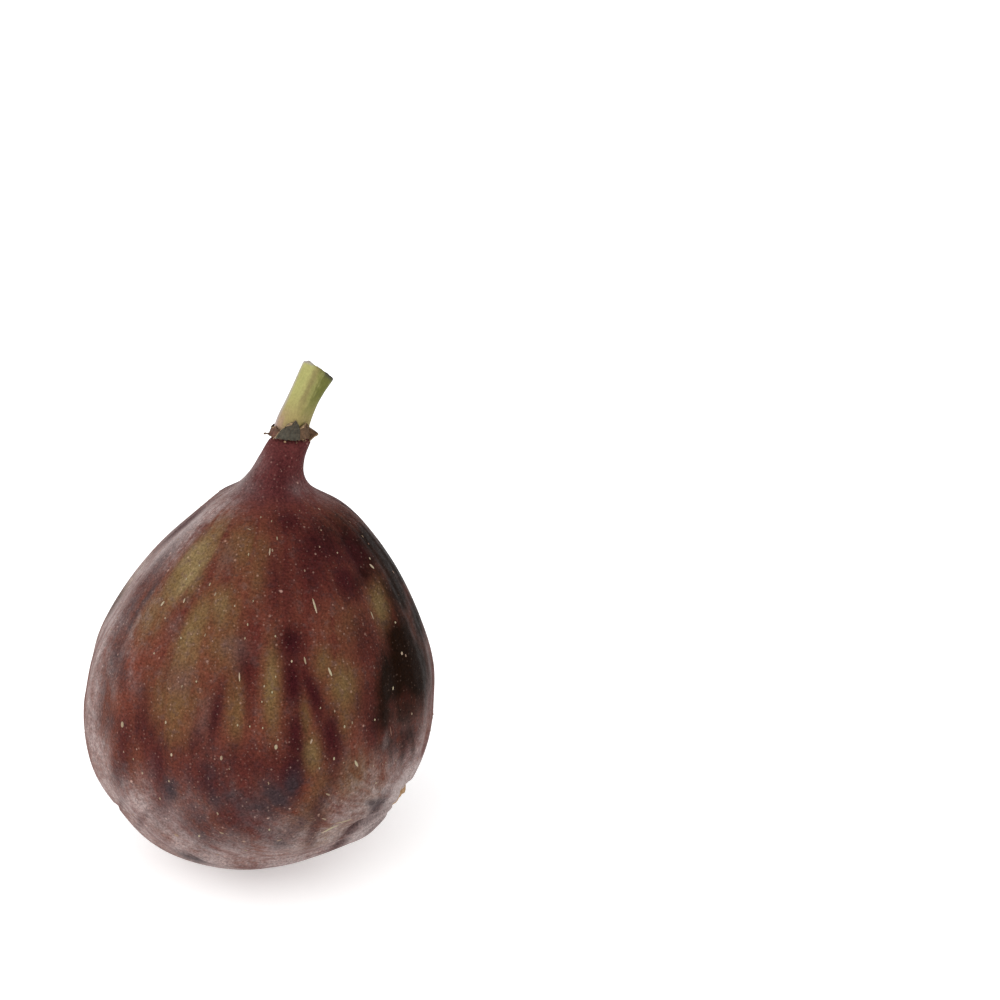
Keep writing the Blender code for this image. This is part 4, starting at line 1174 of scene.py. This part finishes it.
class FIG_OT_stem(bpy.types.Operator):
    """Builds the stem with its ridges, the snapped end and the torn fibres round it"""

    bl_idname = "fig.stem"
    bl_label = "Stem"

    def execute(self, context):
        deselect_all()
        bpy.ops.mesh.primitive_cylinder_add(
            vertices=STEM_SIDES, radius=STEM_RADIUS, depth=STEM_LENGTH,
            location=(0.0, 0.0, STEM_GAP + STEM_LENGTH / 2), end_fill_type="NGON")
        stem = context.active_object
        bpy.ops.object.transform_apply(location=True, rotation=False, scale=False)
        points = points_of(stem)
        ends = np.array([edge.vertices[:] for edge in stem.data.edges])
        upright = np.abs(points[ends[:, 0], 2] - points[ends[:, 1], 2]) > STEM_LENGTH / 2
        select_parts(stem, "EDGE", upright)
        bpy.ops.mesh.subdivide(number_cuts=STEM_CUTS)
        bpy.ops.object.mode_set(mode="OBJECT")
        top = np.array([face.normal.z > 0.5 for face in stem.data.polygons])
        select_parts(stem, "FACE", top)
        for width in STEM_END_INSETS:
            bpy.ops.mesh.inset(thickness=width)
        bpy.ops.mesh.poke()
        bpy.ops.object.mode_set(mode="OBJECT")
        self.shape(stem)
        piece = joined([stem, *self.fibres(context)])
        set_points(piece, placed(points_of(piece), neck_frame()))
        finish_piece(piece, "fig_stem", stem_material(context.scene.fig_colours), "stem_green", "stem")
        smooth_shaded(outward_faces(piece))
        return {"FINISHED"}

    def shape(self, stem):
        """Gives the plain cylinder its outline, ridges, bend and rough snapped end."""
        x, y, z = points_of(stem).T
        azimuth, across = np.arctan2(y, x), np.hypot(x, y) / STEM_RADIUS
        share = (z - STEM_GAP) / STEM_LENGTH
        at_end = share > STEM_END_START
        cut = at_end & (across < STEM_END_RIM)
        radius = curve_through(np.array(STEM_OUTLINE)[:, None], share)[:, 0]
        count, rise, start = STEM_RIDGES
        radius += rise * np.cos(count * azimuth + start)
        wander, waves = STEM_RIDGE_WANDER
        for count, rise, start in STEM_FINE_RIDGES:
            radius += rise * np.cos(count * azimuth + start + wander * np.sin(waves * share))
        radius *= across
        x, y = radius * np.cos(azimuth), radius * np.sin(azimuth)
        right, back = stem_shift(z)
        rough = sum(np.cos(round_it * azimuth + outward * across + start)
                    for round_it, outward, start in STEM_END_WAVES)
        slanted = smooth_step((share - STEM_CUT_REACH) / (1.0 - STEM_CUT_REACH))
        height = z - (STEM_CUT_SLOPE[0] * x + STEM_CUT_SLOPE[1] * y) * slanted
        middle, half_width, rise = STEM_LIP
        away = ((np.degrees(azimuth) - middle + 180.0) % 360.0 - 180.0) / half_width
        lip = rise * np.exp(-away ** 2) * smooth_step((across - STEM_LIP_START) / STEM_LIP_RISE)
        hollow = STEM_END_HOLLOW * smooth_step((STEM_HOLLOW_EDGE - across) / STEM_HOLLOW_WIDTH)
        height += np.where(at_end, STEM_END_ROUGHNESS * rough / 2 + lip, 0.0)
        height -= np.where(at_end, hollow, 0.0)
        set_points(stem, np.stack([x + right, y + back, height], -1))
        place = np.stack([np.cos(azimuth), np.sin(azimuth), share], -1)
        set_values(stem, "stem_place", place, "FLOAT_VECTOR")
        set_values(stem, "cut", cut.astype(float))

    def fibres(self, context):
        """Small torn fibres that stand on the rim of the snapped end."""
        made = []
        for degrees, length, radius, outward, along_rim in STEM_FIBRES:
            deselect_all()
            bpy.ops.mesh.primitive_cone_add(
                vertices=FIBRE_SIDES, radius1=radius, radius2=radius * FIBRE_TIP, depth=length)
            fibre = context.active_object
            azimuth = math.radians(degrees)
            points = points_of(fibre) + [0.0, 0.0, length * FIBRE_RISE]
            curl = radius * FIBRE_CURL * np.sin(points[:, 2] * FIBRE_CURL_WAVES)
            points[:, 0] += outward * points[:, 2] + curl
            points[:, 1] += along_rim * points[:, 2]
            points[:, 2] /= math.hypot(1.0, along_rim)
            turned = turned_about_z(points, azimuth)
            rim = STEM_OUTLINE[-1] * FIBRE_RIM
            right, back = stem_shift(STEM_GAP + STEM_LENGTH)
            x, y = rim * math.cos(azimuth), rim * math.sin(azimuth)
            turned[:, :2] += [x, y]
            turned[:, 2] += STEM_GAP + STEM_LENGTH - turned[:, :2] @ STEM_CUT_SLOPE
            turned[:, :2] += [right, back]
            fibre.location = (0.0, 0.0, 0.0)
            set_points(fibre, turned)
            count = len(turned)
            place = np.tile([math.cos(azimuth), math.sin(azimuth), 1.0], (count, 1))
            set_values(fibre, "stem_place", place, "FLOAT_VECTOR")
            set_values(fibre, "cut", np.ones(count))
            made.append(fibre)
        return made


# Dry bracts round the foot of the stem: degrees round the neck, half width in degrees, height of the tip,
# how far the tip stands off, how far round it is turned in degrees, how far its foot is set on edge, how red
# and how brown the bract is
BRACTS = [
    (-176.0, 12.0, 0.0008, 0.00110, 0.0, 0.0005, 0.3, 1.2),
    (-4.0, 14.0, 0.0013, 0.00140, 0.0, 0.0010, 0.4, 0.8),
    (-96.0, 35.0, 0.0037, 0.00000, 13.0, 0.0, 0.0, 0.1),
    (-42.0, 36.0, 0.0032, 0.00003, 0.0, 0.0, 0.15, 0.9),
    (-142.0, 40.0, 0.0024, 0.00003, 0.0, 0.0, 0.9, 0.5),
    (98.0, 56.0, 0.0032, 0.00010, 0.0, 0.0, 0.1, 0.3),
    (50.0, 36.0, 0.0026, 0.00020, 0.0, 0.0, 0.2, 0.6),
    (148.0, 38.0, 0.0020, 0.00005, 0.0, 0.0, 0.5, 0.4),
]
BRACT_ACROSS = 24
BRACT_UP = 14
BRACT_FOOT_RADIUS = 0.00308
BRACT_FOOT_HEIGHT = 0.00090
# A bract on edge starts this far inside the others
BRACT_INSET = 0.0004
# How a bract narrows to its tip, and how much lower its top is at the sides
BRACT_NARROWING = 0.97
BRACT_TAPER = 0.48
BRACT_POINT = 2.2
BRACT_SLOPE = 0.25
# Its ragged top and the waves at its foot: how many waves, how high
BRACT_RAGGED_WAVES = (9, 17)
BRACT_RAGGED = 0.00008
BRACT_FOOT_WAVES = 14
BRACT_FOOT_WAVINESS = 0.00004
# The edge on the one side is paler than on the other, and the red fades towards the tip
BRACT_DULL_EDGE = 0.6
BRACT_RED_FADE = 0.5
# How fast its fibres change across it and along it
BRACT_FIBRES = (2.0, 0.3)
BRACT_HUG = 0.00050
BRACT_HUG_HEIGHT = 0.0022
BRACT_SKIN = 0.00007
BRACT_SEED = 8
# Torn crumbs along the collar's lower edge
CRUMB_COUNT = 24
CRUMB_RADIUS = 0.00014
CRUMB_SIZES = (0.5, 1.3)
CRUMB_SHAPE = (0.6, 1.0, 1.0)
CRUMB_ROUGHNESS = 0.12
CRUMB_HEIGHTS = (-0.0004, 0.0001)
CRUMB_EDGES = (0.2, 1.0)
CRUMB_REDS = (0.0, 0.6)
CRUMB_BROWN = 0.7
CRUMB_GRAIN = 500.0


class FIG_OT_bracts(bpy.types.Operator):
    """Builds the dry bracts that are grown round the top of the neck, and the crumbs under them"""

    bl_idname = "fig.bracts"
    bl_label = "Bracts"

    def execute(self, context):
        draw = np.random.default_rng(BRACT_SEED)
        pieces = [self.bract(context, order, *values, draw.uniform(0, 6, 3))
                  for order, values in enumerate(BRACTS)]
        pieces += self.crumbs(context, draw)
        piece = joined(pieces)
        set_points(piece, placed(points_of(piece), neck_frame()))
        material = bract_material(context.scene.fig_colours)
        finish_piece(piece, "fig_bracts", material, "bract_brown", "stem_bracts")
        smooth_shaded(piece)
        return {"FINISHED"}

    def bract(self, context, order, degrees, half_width, tip, stand_off, skew, on_edge, red, brown, phases):
        """One bract: a thin pointed leaf that hugs the foot of the stem."""
        bract, across, up = new_grid(context, BRACT_ACROSS, BRACT_UP)
        side = across * math.radians(half_width)
        narrowed = (1.0 - BRACT_NARROWING * up ** BRACT_POINT) ** BRACT_TAPER
        azimuth = math.radians(degrees) + side * narrowed
        azimuth += math.radians(skew) * up
        ragged = sum(np.sin(waves * across + phase) for waves, phase in zip(BRACT_RAGGED_WAVES, phases))
        foot, inset = (tip, BRACT_INSET) if on_edge else (BRACT_FOOT_HEIGHT, 0.0)
        height = foot + up * (tip - foot) * (1.0 - BRACT_SLOPE * across ** 2)
        height += (up - 0.5) * BRACT_RAGGED * ragged + on_edge * across * (1.0 - up)
        layer = BRACT_SKIN * (order % 3)
        hug = BRACT_HUG * smooth_step(height / BRACT_HUG_HEIGHT)
        radius = BRACT_FOOT_RADIUS + layer - hug - inset + stand_off * up
        radius = radius + BRACT_FOOT_WAVINESS * np.sin(BRACT_FOOT_WAVES * across + phases[2]) * (1.0 - up)
        right, back = stem_shift(np.maximum(height, 0.0))
        x, y = radius * np.cos(azimuth) + right, radius * np.sin(azimuth) + back
        set_points(bract, np.stack([x, y, height], -1))
        edge = np.maximum(np.abs(across) ** 4, up ** 5) * np.where(across < 0.0, 1.0, BRACT_DULL_EDGE)
        set_values(bract, "bract_edge", edge)
        set_values(bract, "bract_red", np.full(len(up), red) * (1.0 - BRACT_RED_FADE * up))
        set_values(bract, "bract_brown", np.full(len(up), brown))
        place = np.stack([side * BRACT_FIBRES[0], up * BRACT_FIBRES[1], np.full(len(up), order)], -1)
        set_values(bract, "bract_place", place, "FLOAT_VECTOR")
        return thickened(bract, context.scene.fig_sizes.bract_thickness)

    def crumbs(self, context, draw):
        """Small torn bits of pale bract along the collar's foot."""
        made = []
        for azimuth in draw.uniform(-math.pi, math.pi, CRUMB_COUNT):
            deselect_all()
            bpy.ops.mesh.primitive_ico_sphere_add(subdivisions=2, radius=CRUMB_RADIUS)
            crumb = context.active_object
            points = points_of(crumb) * draw.uniform(*CRUMB_SIZES, 3) * CRUMB_SHAPE
            points += draw.normal(0.0, CRUMB_RADIUS * CRUMB_ROUGHNESS, points.shape)
            height = BRACT_FOOT_HEIGHT + draw.uniform(*CRUMB_HEIGHTS)
            points += [BRACT_FOOT_RADIUS - 2 * BRACT_SKIN, 0.0, height]
            turned = turned_about_z(points, azimuth)
            set_points(crumb, turned)
            set_values(crumb, "bract_edge", np.full(len(turned), draw.uniform(*CRUMB_EDGES)))
            set_values(crumb, "bract_red", np.full(len(turned), draw.uniform(*CRUMB_REDS)))
            set_values(crumb, "bract_brown", np.full(len(turned), CRUMB_BROWN))
            set_values(crumb, "bract_place", turned * CRUMB_GRAIN, "FLOAT_VECTOR")
            made.append(crumb)
        return made


# Rows of scales that close the eye, outermost first: count, radius at the root, radius at the tip, height at
# the root and at the tip over the pit's floor, start in degrees
EYE_ROWS = [
    (9, 0.00235, 0.00085, 0.00100, 0.00180, 0.0), (7, 0.00190, 0.00045, 0.00092, 0.00176, 24.0),
    (6, 0.00140, 0.00010, 0.00090, 0.00172, 9.0), (3, 0.00080, -0.00030, 0.00080, 0.00158, 40.0),
]
EYE_SCALE_ACROSS = 12
EYE_SCALE_ALONG = 10
EYE_SCALE_OVERLAP = 1.35
# How a scale narrows to its tip
EYE_SCALE_NARROWING = 0.95
EYE_SCALE_POINT = 1.5
EYE_SCALE_TAPER = 0.55
# How far a scale's sides hang, how far it tilts to one side, and the waves of its tip
EYE_SCALE_ARCH = 0.00016
EYE_SCALE_TILT = 0.00010
EYE_SCALE_WAVES = 8
EYE_SCALE_WAVINESS = 0.00004
EYE_SCALE_SIDE_TONE = 0.9
EYE_SCALE_SEED = 4
# How far a scale may stand beside its even place, as a share of a scale
EYE_SCALE_SCATTER = (-0.12, 0.12)
# Two scales of the outer row stand up: their numbers, and how far
LIFTED_SCALES = {6: 0.00015, 7: 0.00010}


def eye_frame():
    """Place and turn of the eye's pit, with its Z out of the fruit."""
    around = np.arange(4) * math.pi / 2
    right, front, left, rear = fig_surface(share_of_ring(np.full(4, EYE_FACING_RING)), around)
    bottom = fig_surface(np.ones(1), np.zeros(1))[0]
    outward = np.cross(right - left, front - rear)
    if outward @ (bottom - lean([0.0, 0.0, 0.0])) < 0:
        outward = -outward
    return frame_from(bottom, outward, np.array([0.0, -1.0, 0.0]))


class FIG_OT_eye(bpy.types.Operator):
    """Builds the small overlapping scales that close the fig's eye"""

    bl_idname = "fig.eye"
    bl_label = "Eye scales"

    def execute(self, context):
        draw = np.random.default_rng(EYE_SCALE_SEED)
        scales = []
        for row, (count, root, tip, root_height, tip_height, start) in enumerate(EYE_ROWS):
            for number in range(count):
                place = number + draw.uniform(*EYE_SCALE_SCATTER)
                middle = math.radians(start) + 2 * math.pi * place / count
                half_width = math.pi / count * EYE_SCALE_OVERLAP
                lift = LIFTED_SCALES.get(number, 0.0) if row == 0 else 0.0
                scale, across, along = new_grid(context, EYE_SCALE_ACROSS, EYE_SCALE_ALONG)
                reach = root + (tip - root) * along
                narrowed = (1.0 - EYE_SCALE_NARROWING * along ** EYE_SCALE_POINT) ** EYE_SCALE_TAPER
                width = half_width * narrowed * root
                height = root_height + (tip_height - root_height) * np.sin(along * math.pi / 2)
                height = height - EYE_SCALE_ARCH * across ** 2 + EYE_SCALE_TILT * across * (1 - along)
                height = height + lift * along ** EYE_SCALE_POINT
                height = height + EYE_SCALE_WAVINESS * np.sin(EYE_SCALE_WAVES * across + number) * along
                set_points(scale, turned_about_z(np.stack([reach, across * width, height], -1), middle))
                tone = np.maximum(along, np.abs(across) ** 4 * EYE_SCALE_SIDE_TONE)
                set_values(scale, "scale_along", tone)
                scales.append(thickened(scale, context.scene.fig_sizes.scale_thickness))
        piece = joined(scales)
        set_points(piece, placed(points_of(piece), eye_frame()))
        material = eye_material(context.scene.fig_colours)
        finish_piece(piece, "fig_eye_scales", material, "eye_scale_brown", "eye_scales")
        smooth_shaded(piece)
        return {"FINISHED"}


# The photograph's frame, where in it the middle of the fig's widest ring lies, and its scale: the fig is
# 350 pixels wide there and 50 mm in real size
PHOTO_PIXELS = 1000.0
FIG_IN_PHOTO = (264.0, 700.0)
METRES_PER_PIXEL = 0.050 / 350.0
SENSOR_WIDTH = 36.0
CLIP_START = 0.01
# Direction, breadth and strength of the broad light, strength of the light from all round, and the floor
SUN_PLACE = (-0.75, -0.50, 0.62)
SUN_BREADTH = math.radians(80.0)
SUN_STRENGTH = 1.45
WORLD_STRENGTH = 0.88
FLOOR_WHITE = 0.93
FLOOR_GLOW = 0.38


class FIG_OT_stage(bpy.types.Operator):
    """Builds the floor, the lights and the camera"""

    bl_idname = "fig.stage"
    bl_label = "Stage"

    def execute(self, context):
        sizes = context.scene.fig_sizes
        deselect_all()
        bpy.ops.mesh.primitive_plane_add(size=sizes.floor_size)
        floor = context.active_object
        floor.name = "floor"
        material, tree, shader, here = new_material("floor_white", 0.9, 0.0)
        shader.inputs["Base Color"].default_value = (FLOOR_WHITE, FLOOR_WHITE, FLOOR_WHITE, 1.0)
        shader.inputs["Emission Color"].default_value = (1.0, 1.0, 1.0, 1.0)
        shader.inputs["Emission Strength"].default_value = FLOOR_GLOW
        floor.data.materials.append(material)
        self.add_camera(context, sizes)
        self.add_lights(context)
        return {"FINISHED"}

    def add_camera(self, context, sizes):
        """A camera that frames the fig as the photograph does."""
        elevation = sizes.camera_elevation
        right = Vector((1.0, 0.0, 0.0))
        up = Vector((0.0, math.sin(elevation), math.cos(elevation)))
        back = right.cross(up)
        distance = sizes.camera_lens / SENSOR_WIDTH * PHOTO_PIXELS * METRES_PER_PIXEL
        middle = Vector(lean([0.0, 0.0, 0.0]))
        target = middle + right * (PHOTO_PIXELS / 2 - FIG_IN_PHOTO[0]) * METRES_PER_PIXEL
        target += up * (FIG_IN_PHOTO[1] - PHOTO_PIXELS / 2) * METRES_PER_PIXEL
        data = bpy.data.cameras.new("camera")
        data.lens = sizes.camera_lens
        data.sensor_width = SENSOR_WIDTH
        data.clip_start = CLIP_START
        camera = bpy.data.objects.new("camera", data)
        context.scene.collection.objects.link(camera)
        turn = Matrix((right, up, back)).transposed().to_4x4()
        camera.matrix_world = Matrix.Translation(target + back * distance) @ turn
        context.scene.camera = camera

    def add_lights(self, context):
        """Soft light from all round, and a very broad light from the upper left."""
        world = bpy.data.worlds.new("studio")
        world.use_nodes = True
        background = world.node_tree.nodes["Background"]
        background.inputs["Color"].default_value = (1.0, 1.0, 1.0, 1.0)
        background.inputs["Strength"].default_value = WORLD_STRENGTH
        context.scene.world = world
        data = bpy.data.lights.new("broad_light", "SUN")
        data.angle = SUN_BREADTH
        data.energy = SUN_STRENGTH
        light = bpy.data.objects.new("broad_light", data)
        context.scene.collection.objects.link(light)
        light.matrix_world = frame_from(SUN_PLACE, SUN_PLACE, (0.0, 0.0, 1.0))
        context.scene.view_settings.view_transform = "Standard"


class FIG_PT_panel(bpy.types.Panel):
    """Lists the fig's pieces, sizes and colours"""

    bl_idname = "FIG_PT_panel"
    bl_label = "Fresh Fig"
    bl_space_type = "VIEW_3D"
    bl_region_type = "UI"
    bl_category = "Fig"

    def draw(self, context):
        for operator in OPERATORS:
            self.layout.operator(operator.bl_idname)
        for group in (context.scene.fig_sizes, context.scene.fig_colours):
            box = self.layout.box()
            for name in group.__annotations__:
                box.prop(group, name)


OPERATORS = [FIG_OT_fruit, FIG_OT_flecks, FIG_OT_stem, FIG_OT_bracts, FIG_OT_eye, FIG_OT_stage]
CLASSES = [FigSizes, FigColours, *OPERATORS, FIG_PT_panel]


def register():
    for item in CLASSES:
        bpy.utils.register_class(item)
    bpy.types.Scene.fig_sizes = PointerProperty(type=FigSizes)
    bpy.types.Scene.fig_colours = PointerProperty(type=FigColours)


def unregister():
    del bpy.types.Scene.fig_colours
    del bpy.types.Scene.fig_sizes
    for item in reversed(CLASSES):
        bpy.utils.unregister_class(item)


def main():
    """Builds the fig and its stage."""
    register()
    for operator in OPERATORS:
        group, name = operator.bl_idname.split(".")
        getattr(getattr(bpy.ops, group), name)()


if __name__ == "__main__":
    main()
